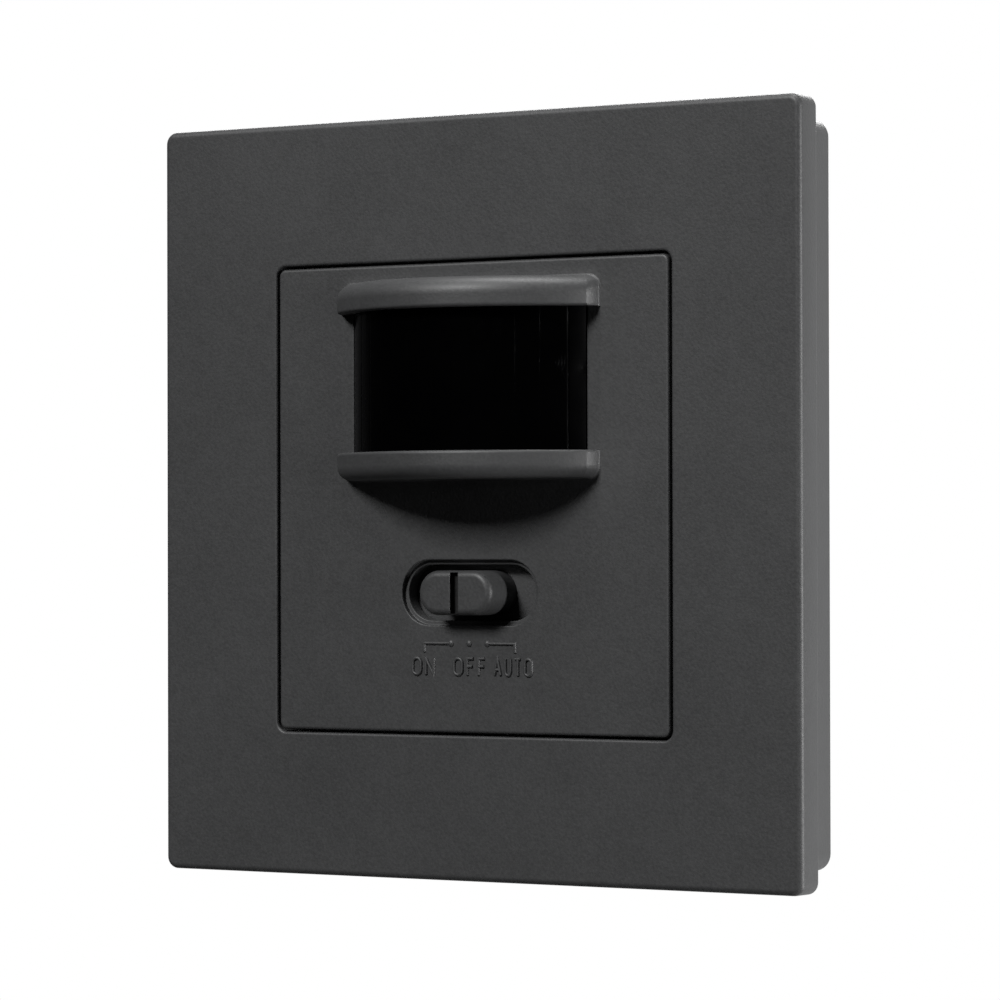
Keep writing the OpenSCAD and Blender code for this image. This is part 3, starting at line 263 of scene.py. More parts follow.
def slab(shell, centre, half, corner, front, back):
    """Slab with rounded corners and a rounded front edge, closed at the front and the back."""
    rounding = quarter(1, corner - SLAB_EDGE, front + SLAB_EDGE, SLAB_EDGE, -90, 0)
    profile = [(0, 0, front), *rounding, (1, corner, back), (0, 0, back)]
    core = (half[0] - corner, half[1] - corner)
    carry_round(shell, profile, square_edge(side=4, fan=6), core, centre)


def turned(shell, centre, profile, count=24):
    """Turns a profile of radius and depth round an axis along Y."""
    radius, depth = np.array(profile, float).T[:, :, None]
    cos, sin = turn(0, 360 * (count - 1) / count, count)
    shell.patch(centre[0] + radius * cos, depth, centre[1] + radius * sin, wrap=True)


def close_fan(shell, line, point):
    """Closes a small opening with a fan from one point to each point of a line."""
    line = np.stack(np.broadcast_arrays(*line))
    x, y, z = np.stack([line, 0 * line + np.array(point)[:, None]], 1)
    shell.patch(x, y, z)


def cover_frame_shell():
    """Cover frame: the section of its rim, skirt, hollow, collar and ledge carried round a square, with
    the corner radius growing or shrinking along the section, and ribs behind the face."""
    shell = Shell()
    hole_out = HOLE_CORNER + HOLE_LIP
    rim_out = FRAME_CORNER - FRAME_EDGE
    small = FRAME_ROUND
    profile = [
        (CORE, HOLE_CORNER, PLATE_BACK),
        *quarter(CORE, hole_out, FRONT + HOLE_LIP, HOLE_LIP, 180, 270),
        (CORE, hole_out + FRAME_STRIP, FRONT),
        (FRAME_CORE, rim_out - FRAME_STRIP, FRONT),
        *quarter(FRAME_CORE, rim_out, FRONT + FRAME_EDGE, FRAME_EDGE, -90, 0, 9),
        *quarter(FRAME_CORE, FRAME_CORNER - small, RIM_BACK - small, small, 0, 90),
        *quarter(SKIRT_CORE, SKIRT_CORNER + small, RIM_BACK + small, small, 270, 180),
        *quarter(SKIRT_CORE, SKIRT_CORNER - small, -small, small, 0, 90),
        *quarter(HOLLOW_CORE, HOLLOW_CORNER + small, -small, small, 90, 180),
        *quarter(HOLLOW_CORE, HOLLOW_CORNER - small, FACE_BACK + small, small, 0, -90),
        *quarter(CORE, COLLAR_CORNER + small, FACE_BACK + small, small, 270, 180),
        *quarter(CORE, COLLAR_CORNER - small, LEDGE_BACK - small, small, 0, 90),
        *quarter(LEDGE_CORE, LEDGE_CORNER + small, LEDGE_BACK - small, small, 90, 180),
        *quarter(LEDGE_CORE, LEDGE_CORNER + small, PLATE_BACK + small, small, 180, 270),
    ]
    carry_round(shell, profile, square_edge(side=25, fan=8), close=True)
    rib_in, rib_out = CORE + COLLAR_CORNER - RIB_SINK, HOLLOW_CORE + HOLLOW_CORNER + RIB_SINK
    middle, half = (rib_in + rib_out) / 2, (rib_out - rib_in) / 2
    rib_front = FACE_BACK - RIB_SINK
    for side in (-1, 1):
        for place in (-RIB_X, RIB_X):
            slab(shell, (place, side * middle), (RIB_T / 2, half), RIB_CORNER, rib_front, LEDGE_BACK)
            slab(shell, (side * middle, place), (half, RIB_T / 2), RIB_CORNER, rib_front, LEDGE_BACK)
    return shell


def bar_columns():
    """Places along a bar: evenly over the window, then closer round the corners at its ends."""
    middle = np.linspace(-WINDOW_HALF, WINDOW_HALF, 55)
    corner = HOOD_HALF - BAR_CORNER + BAR_CORNER * turn(0, 90, 9)[1]
    ends = np.append(WINDOW_HALF + WINDOW_EDGE, corner)
    return np.concatenate([-ends[::-1], middle, ends])


BAR_X = bar_columns()


def bar_section(height, soft, top):
    """Section of a bar at each place along it: a rounded lip, a flat face, and a soft outer edge that
    stops at the bar's top there. Gives radii about the hood's axis and heights from the lip."""
    cos, sin = (values[:, None] + 0 * BAR_X for values in turn(0, 90))
    flat = np.array([[BAR_LIP + BAR_STRIP], [height - soft - BAR_STRIP]]) + 0 * BAR_X
    tilt = np.linspace(0, 1, 13)[:, None] * np.arcsin(np.clip((top - (height - soft)) / soft, 0, 1))
    radius = [HOOD_R - BAR_LIP * (1 - sin), HOOD_R + 0 * flat, HOOD_R - soft * (1 - np.cos(tilt))]
    rise = [BAR_LIP * (1 - cos), flat, height - soft + soft * np.sin(tilt)]
    return np.concatenate(radius), np.concatenate(rise)


def outline(grid):
    """Values along a bar's outline: up the left end, along the outer edge and down the right end."""
    return np.concatenate([grid[:, 0], grid[-1], grid[::-1, -1]])


def bar_wall(shell, x, y, z, lip, across, outward):
    """Wall from a bar's outline back to a fillet on the plate. The fillet leans along across and outward,
    its directions on the outline, and fans close both ends at the lip. Gives the fillet's foot."""
    foot_x, edge_x, edge_y, edge_z = (outline(grid) for grid in (BAR_X + 0 * x, x, y, z))
    fillet = np.minimum(BAR_FILLET, FILLET_SHARE * (FRONT - edge_y))
    cos, sin = turn(0, 90)
    wall_x = np.vstack([edge_x, foot_x + np.outer(1 - cos, fillet * across)])
    wall_y = np.vstack([edge_y, FRONT - np.outer(1 - sin, fillet)])
    wall_z = np.vstack([edge_z, edge_z + np.outer(1 - cos, fillet * outward)])
    shell.patch(wall_x, wall_y, wall_z)
    for hand, end in ((-1, 0), (1, -1)):
        close_fan(shell, (wall_x[:, end], wall_y[:, end], wall_z[:, end]), (hand * HOOD_HALF, FRONT, lip))
    return wall_x[-1], wall_z[-1]


def window_round():
    """Rounded edge at the window's sides: half widths and depths, from the plate's front to the jamb."""
    cos, sin = turn(0, 90, 4)
    return WINDOW_HALF + WINDOW_EDGE * (1 - sin), FRONT + WINDOW_EDGE * (1 - cos)


def bar_seat(shell, lip_x, lip_y, lip, side):
    """Inner face of a bar: from its lip back to the lens's arc, then over the lens's edge to the plate's
    back. Fans close the window's corners, beside the rounded edge and beside that step."""
    inside = np.abs(BAR_X) <= WINDOW_HALF
    arc = LENS_Y - np.sqrt((LENS_R + LENS_FIT) ** 2 - np.clip(BAR_X, -WINDOW_HALF, WINDOW_HALF) ** 2)
    seat = np.where(inside, np.minimum(arc, FRONT), FRONT)
    shell.patch(np.vstack([lip_x, BAR_X]), np.vstack([lip_y, seat]), np.full((2, 1), lip))
    tuck = lip + side * LENS_TUCK
    step_y = np.vstack([seat, seat, np.full_like(seat, PLATE_BACK)])[:, inside]
    shell.patch(BAR_X[inside] + 0 * step_y, step_y, np.array([[lip], [tuck], [tuck]]))
    end = seat[inside][0]
    round_x, round_y = window_round()
    round_x, round_y = np.append(round_x[::-1], WINDOW_HALF), np.append(round_y[::-1], end)
    side_y = np.array([end, end, PLATE_BACK, PLATE_BACK, FRONT + WINDOW_EDGE])
    side_z = np.array([lip, tuck, tuck, lip, lip])
    for hand in (-1, 1):
        corner = (hand * WINDOW_HALF, FRONT, lip)
        close_fan(shell, (hand * round_x, round_y, lip), corner)
        close_fan(shell, (hand * WINDOW_HALF, side_y, side_z), corner)


def bar(shell, lip, side, height, soft):
    """Bar of the hood: its section carried along an arc about the hood's axis, with corners rounded in
    front view, a wall to the plate and a seat for the lens. Gives the foot of the wall along the outline
    and the section's heights at the ends."""
    past = np.maximum(np.abs(BAR_X) - (HOOD_HALF - BAR_CORNER), 0) / BAR_CORNER
    level = np.sqrt(np.maximum(1 - past ** 2, 0))
    radius, rise = bar_section(height, soft, height - BAR_CORNER * (1 - level))
    x = BAR_X * (HOOD_TOP_HALF / HOOD_HALF) + 0 * radius
    y = np.minimum(HOOD_Y - np.sqrt(radius ** 2 - x ** 2), FRONT)
    z = lip + side * rise
    shell.patch(x, y, z)
    ends = np.ones(len(radius))
    across = np.concatenate([-ends, np.sign(BAR_X) * past, ends])
    outward = np.concatenate([0 * ends, side * level, 0 * ends])
    foot_x, foot_z = bar_wall(shell, x, y, z, lip, across, outward)
    bar_seat(shell, x[0], y[0], lip, side)
    return foot_x, foot_z, rise[:, 0]


def plate_faces(shell, low_bar, high_bar):
    """Front and back of the centre plate, on a grid with rows at the slot's box and at both bars. In front,
    the row along each bar's outer edge bends to the foot of its wall, and the cells of the bars, the window
    and the slot's box stay open. Behind, the bars' rows move away from the window by the lens's tuck, and
    the rows of the two lips repeat. Gives the front grid and the part of it that is the slot's box."""
    low_x, low_z, low_rise = low_bar
    high_x, high_z, high_rise = high_bar
    bend = HOOD_HALF + BAR_FILLET
    columns = np.concatenate([[-CORE, -bend], BAR_X, [bend, CORE]])
    cell_x = np.abs(columns[1:] + columns[:-1]) / 2
    slot_rows = np.linspace(SLOT_Z - SLOT_BOX_Z, SLOT_Z + SLOT_BOX_Z, 19)
    steps, slots = len(low_rise), len(slot_rows)
    rows = np.concatenate([[-CORE], slot_rows, LOWER_LIP - low_rise[::-1], UPPER_LIP + high_rise, [CORE]])
    low, high = 1 + slots, 1 + slots + steps
    x, z = np.meshgrid(columns, rows)
    in_slot = cell_x < SLOT_BOX_X

    behind = np.r_[0:high, high - 1:high + 1, high:len(rows)]
    back_x, back_z = x[behind], z[behind]
    back_z[low:high, 1:-1] -= LENS_TUCK
    back_z[high + 2:high + 2 + steps, 1:-1] += LENS_TUCK
    keep = np.ones((len(behind) - 1, len(cell_x)), bool)
    keep[high - 1:high + 2, cell_x < WINDOW_HALF] = False
    keep[1:slots, in_slot] = False
    shell.patch(back_x, PLATE_BACK, back_z, keep=keep)

    outer = slice(steps, -steps)
    for row, bar_x, bar_z in ((low, low_x, low_z), (high + steps - 1, high_x, high_z)):
        x[row, 2:-2], z[row, 2:-2] = bar_x[outer], bar_z[outer]
    keep = np.ones((len(rows) - 1, len(cell_x)), bool)
    keep[low:high - 1, 1:-1] = False
    keep[high:high + steps - 1, 1:-1] = False
    keep[high - 1, cell_x < WINDOW_HALF + WINDOW_EDGE] = False
    keep[1:slots, in_slot] = False
    shell.patch(x, FRONT, z, keep=keep)
    slot_cells = np.flatnonzero(in_slot)
    return x, z, (slice(1, low), slice(slot_cells[0], slot_cells[-1] + 2))


def plate_edge(shell, x, z):
    """Edge of the centre plate: a rounding, a side and a chamfer carried round the border of its grid."""
    row, column, out_x, out_z = border(x.shape, fan=6)
    start = PLATE_CORNER - PLATE_EDGE
    profile = [
        (1, 0, FRONT),
        (1, start - PLATE_STRIP, FRONT),
        *quarter(1, start, FRONT + PLATE_EDGE, PLATE_EDGE, -90, 0, 7),
        (1, PLATE_CORNER, PLATE_BACK - PLATE_CHAMFER),
        (1, PLATE_CORNER - PLATE_CHAMFER, PLATE_BACK),
        (1, 0, PLATE_BACK),
    ]
    carry_round(shell, profile, (x[row, column], z[row, column], out_x, out_z))


def window_jambs(shell):
    """Sides of the window: a rounded edge and a straight jamb, from the lower lip to the upper one."""
    round_x, round_y = window_round()
    jamb_x, jamb_y = np.append(round_x, WINDOW_HALF)[None], np.append(round_y, PLATE_BACK)[None]
    for hand in (-1, 1):
        shell.patch(hand * jamb_x, jamb_y, np.array([[LOWER_LIP], [UPPER_LIP]]))


def stepped_slot(shell, box_x, box_z):
    """Slot: rings between the border of its box and the spine of a pill. They follow a section of a rounded
    edge, a wall, a step and a second rounded edge, and go back to the same border behind."""
    row, column, _, _ = border(box_x.shape, fan=1)
    edge_x, edge_z = box_x[row, column], box_z[row, column] - SLOT_Z
    spine = np.clip(edge_x, -SLOT_SPINE, SLOT_SPINE)
    reach = np.hypot(edge_x - spine, edge_z)
    inner, step = SLOT_R - SLOT_LEDGE, FRONT + SLOT_STEP
    profile = [
        (0, SLOT_R + SLOT_LIP + SLOT_STRIP, FRONT),
        *quarter(0, SLOT_R + SLOT_LIP, FRONT + SLOT_LIP, SLOT_LIP, 270, 180, 7),
        *quarter(0, SLOT_R - SLOT_FOOT, step - SLOT_FOOT, SLOT_FOOT, 0, 90),
        *quarter(0, inner + SLOT_LIP, step + SLOT_LIP, SLOT_LIP, 270, 180, 7),
        (0, inner, PLATE_BACK),
    ]
    _, out, depth = np.array(profile).T[:, :, None]
    out = np.vstack([reach, out + 0 * reach, reach])
    depth = np.vstack([FRONT + 0 * reach, depth + 0 * reach, PLATE_BACK + 0 * reach])
    shell.patch(spine + out * (edge_x - spine) / reach, depth, SLOT_Z + out * edge_z / reach, wrap=True)


def plate_wall(shell):
    """Wall behind the centre plate: a straight section with chamfered ends carried round a square."""
    core, front, end = WALL_OUT - WALL_CORNER, PLATE_BACK - SINK, WALL_END - WALL_CHAMFER
    profile = [
        (WALL_IN, 0, front), (core, WALL_CORNER, front), (core, WALL_CORNER, end),
        (core, WALL_CORNER - WALL_CHAMFER, WALL_END), (WALL_IN, WALL_CHAMFER, WALL_END), (WALL_IN, 0, end),
    ]
    carry_round(shell, profile, square_edge(side=9, fan=6), close=True)


def lens_stakes(shell):
    """Four stakes through the lens retainer: a profile of shank and flattened head turned round."""
    front, head = PLATE_BACK - SINK, RETAINER_BACK + STAKE_HEAD_T
    profile = [
        (0, front), (STAKE_R, front), (STAKE_R, RETAINER_BACK), (STAKE_HEAD_R, RETAINER_BACK),
        (STAKE_HEAD_R, RETAINER_BACK + STAKE_HEAD_T / 2), (STAKE_TOP_R, head), (0, head),
    ]
    for hand in (-1, 1):
        for level in (-1, 1):
            turned(shell, (hand * STAKE_X, LENS_Z + level * STAKE_Z), profile)


def centre_plate_shell():
    """Centre plate: two bars, a flat front and back round them, a rounded edge, the sides of the window, a
    stepped slot, and the wall and stakes behind."""
    shell = Shell()
    low_bar = bar(shell, LOWER_LIP, -1, LOWER_H, LOWER_SOFT)
    high_bar = bar(shell, UPPER_LIP, 1, UPPER_H, UPPER_SOFT)
    x, z, box = plate_faces(shell, low_bar, high_bar)
    plate_edge(shell, x, z)
    window_jambs(shell)
    stepped_slot(shell, x[box], z[box])
    plate_wall(shell)
    lens_stakes(shell)
    return shell


def lens_columns():
    """Places across the lens, close together at the lines between its upright segments."""
    lines = np.arange(SEGMENT_START, LENS_HALF - LENS_T, SEGMENT_PITCH)
    lines = np.concatenate([-lines[::-1], lines])
    near = lines[:, None] + np.linspace(-LINE_NEAR, LINE_NEAR, 5)
    between = lines[:-1, None] + np.linspace(LINE_CLEAR, SEGMENT_PITCH - LINE_CLEAR, 6)
    inner = np.concatenate([near.ravel(), between.ravel(), [0.0]])
    inner = inner[np.abs(inner) < lines[-1] + LINE_CLEAR]
    ends = np.append(lines[-1] + np.array(LAST_LINE_STEPS), [LENS_HALF - LENS_STRIP, LENS_HALF])
    return np.unique(np.concatenate([-ends, inner, ends]).round(5)), lines


def fresnel_lens_shell():
    """Lens: a tray whose front is part of a cylinder, with a shallow line between its upright segments, a
    flange behind the plate, and deeper lines inside. A line is a bell curve of the distance to it."""
    shell = Shell()
    columns, lines = lens_columns()
    line = np.exp(-(np.abs(columns[:, None] - lines).min(1) / LINE_HALF) ** 2)
    x, z = np.meshgrid(columns, np.linspace(LENS_LOW, LENS_HIGH, 9))
    y = LENS_Y - np.sqrt(LENS_R ** 2 - x ** 2) + LINE_DEEP * line
    shell.patch(x, y, z)
    inner_x = x * (LENS_HALF - LENS_T) / LENS_HALF
    inner_y = LENS_Y - np.sqrt((LENS_R - LENS_T) ** 2 - inner_x ** 2) - INNER_LINE_DEEP * line
    inner_z = LENS_Z + (z - LENS_Z) * (1 - 2 * LENS_T / (LENS_HIGH - LENS_LOW))
    shell.patch(inner_x, inner_y, inner_z)

    row, column, out_x, out_z = border(x.shape, fan=5)
    x, y, z = x[row, column], y[row, column], z[row, column]
    inner_x, inner_y, inner_z = (grid[row, column] for grid in (inner_x, inner_y, inner_z))
    wide = FLANGE_W - FLANGE_CHAMFER
    flange = [
        (0, PLATE_BACK), (wide, PLATE_BACK), (FLANGE_W, PLATE_BACK + FLANGE_CHAMFER),
        (FLANGE_W, FLANGE_BACK - FLANGE_CHAMFER), (wide, FLANGE_BACK),
    ]
    out, depth = np.array(flange).T[:, :, None]
    wall_x = np.vstack([x, x + out * out_x, inner_x, inner_x])
    wall_y = np.vstack([y, depth + 0 * x, FLANGE_BACK + 0 * x, inner_y])
    wall_z = np.vstack([z, z + out * out_z, inner_z, inner_z])
    shell.patch(wall_x, wall_y, wall_z, wrap=True)
    return shell


def knob_outline():
    """Places round the pill: straight sides with columns on the section of the index groove, and half
    circles at the ends. Gives points on the spine, outward directions and the groove's depth there."""
    cos, sin = turn(0, 90)
    lip_x = -GROOVE_HALF - GROOVE_LIP * (1 - sin)
    face_x = [-KNOB_SPINE, -KNOB_COLUMN, lip_x[0] - KNOB_STRIP]
    half_x = np.concatenate([face_x, lip_x, [-GROOVE_HALF, -GROOVE_HALF + GROOVE_FOOT]])
    half_y = np.concatenate([[0, 0, 0], GROOVE_LIP * (1 - cos), [GROOVE_DEEP - GROOVE_FOOT, GROOVE_DEEP]])
    line_x, line_y = np.append(half_x, -half_x[::-1]), np.append(half_y, half_y[::-1])
    end_cos, end_sin = np.array(turn(90, -90, 33))[:, 1:-1]
    spine = np.concatenate([line_x, 0 * end_cos + KNOB_SPINE, line_x[::-1], 0 * end_cos - KNOB_SPINE])
    out_x = np.concatenate([0 * line_x, end_cos, 0 * line_x, -end_cos])
    out_z = np.concatenate([0 * line_x + 1, end_sin, 0 * line_x - 1, -end_sin])
    drop = np.concatenate([line_y, 0 * end_cos, line_y[::-1], 0 * end_cos])
    return spine, out_x, out_z, drop


def selector_knob_shell():
    """Selector: rings from the pill's spine to its outline, with a rounded edge. The deeper of edge and
    groove holds, and the groove ends on the rounded edge. A base carries the pill and a fork."""
    shell = Shell()
    spine, out_x, out_z, drop = knob_outline()
    flat_r = KNOB_R - KNOB_EDGE
    face_r = [0, KNOB_RING, flat_r - KNOB_STRIP]
    groove_tilts, edge_tilts = [0, 15, 30, GROOVE_TILT], [GROOVE_TILT, 57, 68, 79, 90]
    tilt = np.radians(groove_tilts + edge_tilts)
    radius = np.concatenate([face_r, flat_r + KNOB_EDGE * np.sin(tilt), [KNOB_R, 0]])[:, None]
    depth = np.concatenate([[0, 0, 0], KNOB_EDGE * (1 - np.cos(tilt)), [0, 0]])[:, None]
    grooved = np.arange(len(radius))[:, None] < len(face_r) + len(groove_tilts)
    y = KNOB_FACE + np.maximum(depth, drop * grooved)
    y[-2:] = BASE_FRONT + SINK
    shell.patch(spine + radius * out_x, y, SLOT_Z + radius * out_z, wrap=True)

    slab(shell, (0, SLOT_Z), (BASE_HALF_X, BASE_HALF_Z), BASE_CORNER, BASE_FRONT, BASE_BACK)
    fork_x, fork_half = (FORK_IN + FORK_OUT) / 2, ((FORK_OUT - FORK_IN) / 2, FORK_HALF_Z)
    for hand in (-1, 1):
        slab(shell, (hand * fork_x, SLOT_Z), fork_half, FORK_CORNER, BASE_BACK - SINK, FORK_END)
    return shell


def bead(shell, points, closed=False):
    """Raised line: half an ellipse carried along a path, turned by the mean of the directions before and
    after each point and stretched at bends so that its width holds. An open path gets flat ends, and
    points near both ends of each stroke, so that its shading is even between the bends."""
    path = np.array(points, float)
    if closed:
        before, after = path - np.roll(path, 1, 0), np.roll(path, -1, 0) - path
    else:
        step = np.diff(path, axis=0)
        near = np.minimum(LEGEND_LINE / 2 / np.linalg.norm(step, axis=1), BEND_SHARE)[:, None] * step
        strokes = np.hstack([path[:-1], path[:-1] + near, path[1:] - near]).reshape(-1, 2)
        path = np.vstack([strokes, path[-1:]])
        step = np.diff(path, axis=0)
        before, after = np.vstack([step[:1], step]), np.vstack([step, step[-1:]])
    before, after = unit(before), unit(after)
    mean = unit(before + after)
    stretch = 1 / np.maximum((mean * after).sum(1), BEND_LEAST)
    side = np.stack([-mean[:, 1], mean[:, 0]], 1) * stretch[:, None]
    share = np.ones(len(path))
    if not closed:
        path = np.vstack([path[:1], path, path[-1:]])
        side = np.vstack([side[:1], side, side[-1:]])
        share = np.concatenate([[0], share, [0]])
    cos, sin = turn(180, 0, 11)
    out = np.append(cos, cos[0])[:, None] * LEGEND_LINE / 2 * share
    raise_y = np.append(sin, sin[0])[:, None] * LEGEND_RAISE * share - LEGEND_SINK
    shell.patch(path[:, 0] + out * side[:, 0], FRONT - raise_y, path[:, 1] + out * side[:, 1], wrap=closed)


def letter_strokes(letter, slim):
    """Strokes of a letter, as shares of its width and height. The round letter is two half circles joined
    by straight sides, for a given width over height."""
    cos, sin = turn(0, 180, 13)
    round_w, round_h = 0.5 * cos, 0.5 * slim * sin
    straight = 0.5 - 0.5 * slim
    bowl_cos, bowl_sin = turn(180, 360, 9)
    return {
        "O": [[*zip(0.5 + round_w, 0.5 + straight + round_h),
               *zip(0.5 - round_w, 0.5 - straight - round_h)]],
        "N": [[(0, 0), (0, 1), (1, 0), (1, 1)]],
        "F": [[(0, 0), (0, 1), (1, 1)], [(0, 0.52), (0.85, 0.52)]],
        "A": [[(0, 0), (0.5, 1), (1, 0)], [(0.2, 0.34), (0.8, 0.34)]],
        "U": [[(0, 1), *zip(0.5 + 0.5 * bowl_cos, 0.3 + 0.3 * bowl_sin), (1, 1)]],
        "T": [[(0, 1), (1, 1)], [(0.5, 1), (0.5, 0)]],
    }[letter]


def raised_word(shell, word, left, narrow, gap):
    """Word of raised lines from its left edge, with letters narrowed by a share and a gap between them."""
    height, base = LETTER_H - LEGEND_LINE, WORD_Z + LEGEND_LINE / 2
    for letter in word:
        corner, width = left + LEGEND_LINE / 2, LETTER_WIDTHS[letter] * narrow - LEGEND_LINE
        for stroke in letter_strokes(letter, width / height):
            points = [(corner + width * across, base + height * up) for across, up in stroke]
            bead(shell, points, closed=letter == "O")
        left += LETTER_WIDTHS[letter] * narrow + gap


def legend_shell():
    """Raised legend under the slot: the words of the three positions, and bracket lines with dots. A dot
    is a quarter of an ellipse turned round."""
    shell = Shell()
    raised_word(shell, "ON", left=-7.4, narrow=1, gap=0.26)
    raised_word(shell, "OFF", left=-2.1, narrow=1, gap=0.26)
    raised_word(shell, "AUTO", left=3.05, narrow=0.83, gap=0.22)
    bead(shell, [(BRACKET_LEFT, MARK_FOOT), (BRACKET_LEFT, MARK_Z), (-DOT_X, MARK_Z)])
    bead(shell, [(DOT_X, MARK_Z), (BRACKET_RIGHT, MARK_Z), (BRACKET_RIGHT, MARK_FOOT)])
    foot = FRONT + LEGEND_SINK
    dome = [(DOT_R * cosine, FRONT - LEGEND_RAISE * sine) for cosine, sine in zip(*turn(0, 90))]
    for place in (-DOT_X, 0, DOT_X):
        turned(shell, (place, MARK_Z), [(0, foot), (DOT_R, foot), *dome], count=20)
    return shell


class Nodes:
    """A tree of shader nodes."""

    def __init__(self, tree):
        self.tree = tree

    def node(self, kind, settings=None, inputs=None, output=0):
        """Adds a node: its settings first, then its sockets' values or links. Gives an output, if any."""
        made = self.tree.nodes.new(kind)
        for key, value in (settings or {}).items():
            setattr(made, key, value)
        for key, value in (inputs or {}).items():
            if isinstance(value, Value):
                self.tree.links.new(value.socket, made.inputs[key])
            else:
                made.inputs[key].default_value = value
        return Value(self, made.outputs[output]) if len(made.outputs) else None

    def outputs(self, kind, inputs=None):
        """Adds a node and gives all its outputs by name."""
        sockets = self.node(kind, None, inputs).socket.node.outputs
        return {socket.name: Value(self, socket) for socket in sockets}

    def math(self, operation, *terms):
        """Adds a Math node on terms in their order."""
        return self.node("ShaderNodeMath", {"operation": operation}, dict(enumerate(terms)))


def overload(operation):
    """The plain and the reflected form of an operator, each as one Math node."""
    return (lambda value, other: value.nodes.math(operation, value, other),
            lambda value, other: value.nodes.math(operation, other, value))


class Value:
    """A shader socket. Arithmetic on it adds Math nodes."""

    def __init__(self, nodes, socket):
        self.nodes = nodes
        self.socket = socket

    def math(self, operation, *terms):
        """A Math node on this value and further terms."""
        return self.nodes.math(operation, self, *terms)

    __add__, __radd__ = overload("ADD")
    __sub__, __rsub__ = overload("SUBTRACT")
    __mul__, __rmul__ = overload("MULTIPLY")
    __truediv__, __rtruediv__ = overload("DIVIDE")
    __pow__, __rpow__ = overload("POWER")


class Finish(Nodes):
    """A material: one main shader, and nodes that vary its colour, roughness and bump."""

    def __init__(self, name, **constants):
        self.material = bpy.data.materials.new(name)
        self.material.use_nodes = True
        super().__init__(self.material.node_tree)
        self.shader = self.tree.nodes["Principled BSDF"]
        for socket, value in constants.items():
            self.shader.inputs[socket.replace("_", " ")].default_value = value
        self.place = self.node("ShaderNodeTexCoord", output="Object")

    def noise(self, scale, detail=2.0, vector=None):
        """Cloudy noise from 0 to 1, with a scale in cells for each metre."""
        return self.node("ShaderNodeTexNoise", None,
                         {"Vector": vector or self.place, "Scale": scale, "Detail": detail}, "Fac")

    def axes(self):
        """The three coordinates, in metres."""
        return self.outputs("ShaderNodeSeparateXYZ", {0: self.place}).values()

    def mix(self, share, first, second):
        """A colour between two, by a share from 0 to 1."""
        return self.node("ShaderNodeMix", {"data_type": "RGBA"}, {0: share, 6: first, 7: second}, 2)

    def feed(self, socket, value):
        """Links a value to a socket of the main shader."""
        self.tree.links.new(value.socket, self.shader.inputs[socket])

    def bump(self, height, strength, distance):
        """Bends the main shader's normal by a height map, with its distance in metres."""
        self.feed("Normal", self.node("ShaderNodeBump", None, {
            "Strength": strength, "Distance": distance, "Height": height}, "Normal"))


def shade(colour, factor):
    """A colour made lighter or darker, with full opacity."""
    return (*(min(1.0, part * factor) for part in colour), 1.0)


def moulded(name, colour, roughness, grain=5200, depth=0.00002, specular=0.3, spread=0.18):
    """Moulded plastic: a fine spark-eroded grain and slow clouds in colour and roughness, and the grain in
    the bump. The colour varies by spread to both sides."""
    finish = Finish(name, Specular_IOR_Level=specular)
    fine, medium, slow = finish.noise(grain, 2.5), finish.noise(grain / 6, 2), finish.noise(70, 3)
    share = slow * 0.25 + medium * 0.2 + fine * 0.55
    finish.feed("Base Color", finish.mix(share, shade(colour, 1 - spread), shade(colour, 1 + spread)))
    finish.feed("Roughness", roughness + (fine - 0.5) * 0.16 + (slow - 0.5) * 0.1)
    finish.bump(fine + medium * 0.5, strength=0.35, distance=depth)
    return finish


def painted_groove_shade(finish):
    """Paints shade into the groove of the selector: what lies in a box round its middle, from just behind
    the face, is made near black. This painted shade stands in for the darkness of a deeper groove. Each
    axis of the box has a middle and a reach."""
    middle_y = KNOB_FACE + GROOVE_DEEP / 2 + GROOVE_SHADE_BACK
    box = ((0, GROOVE_HALF), (middle_y, GROOVE_DEEP / 2), (SLOT_Z, GROOVE_END))
    inside = 1.0
    for axis, (middle, reach) in zip(finish.axes(), box):
        away = (axis - middle * MM).math("ABSOLUTE")
        inside = away.math("LESS_THAN", (reach + GROOVE_SHADE_EASE) * MM) * inside
    tone = Value(finish, finish.shader.inputs["Base Color"].links[0].from_socket)
    # Painted shade: the groove's inside is made near black in the base colour
    finish.feed("Base Color", finish.mix(inside, tone, (0.0015, 0.0015, 0.0015, 1)))
    return finish


def metal(name, colour, roughness, along, grain=260, stretch=14):
    """Plated or drawn metal: fine lines along one axis in colour, roughness and bump, and cloudy tone."""
    finish = Finish(name, Metallic=1.0)
    scale = [1 if axis == along else stretch for axis in "XYZ"]
    lines = finish.node("ShaderNodeMapping", None, {"Vector": finish.place, "Scale": scale})
    fine, slow = finish.noise(grain, 3, lines), finish.noise(160, 3)
    share = slow * 0.7 + fine * 0.3
    finish.feed("Base Color", finish.mix(share, shade(colour, 0.78), shade(colour, 1.15)))
    finish.feed("Roughness", roughness + (fine - 0.5) * 0.22 + (slow - 0.5) * 0.12)
    finish.bump(fine, strength=0.2, distance=0.00001)
    return finish


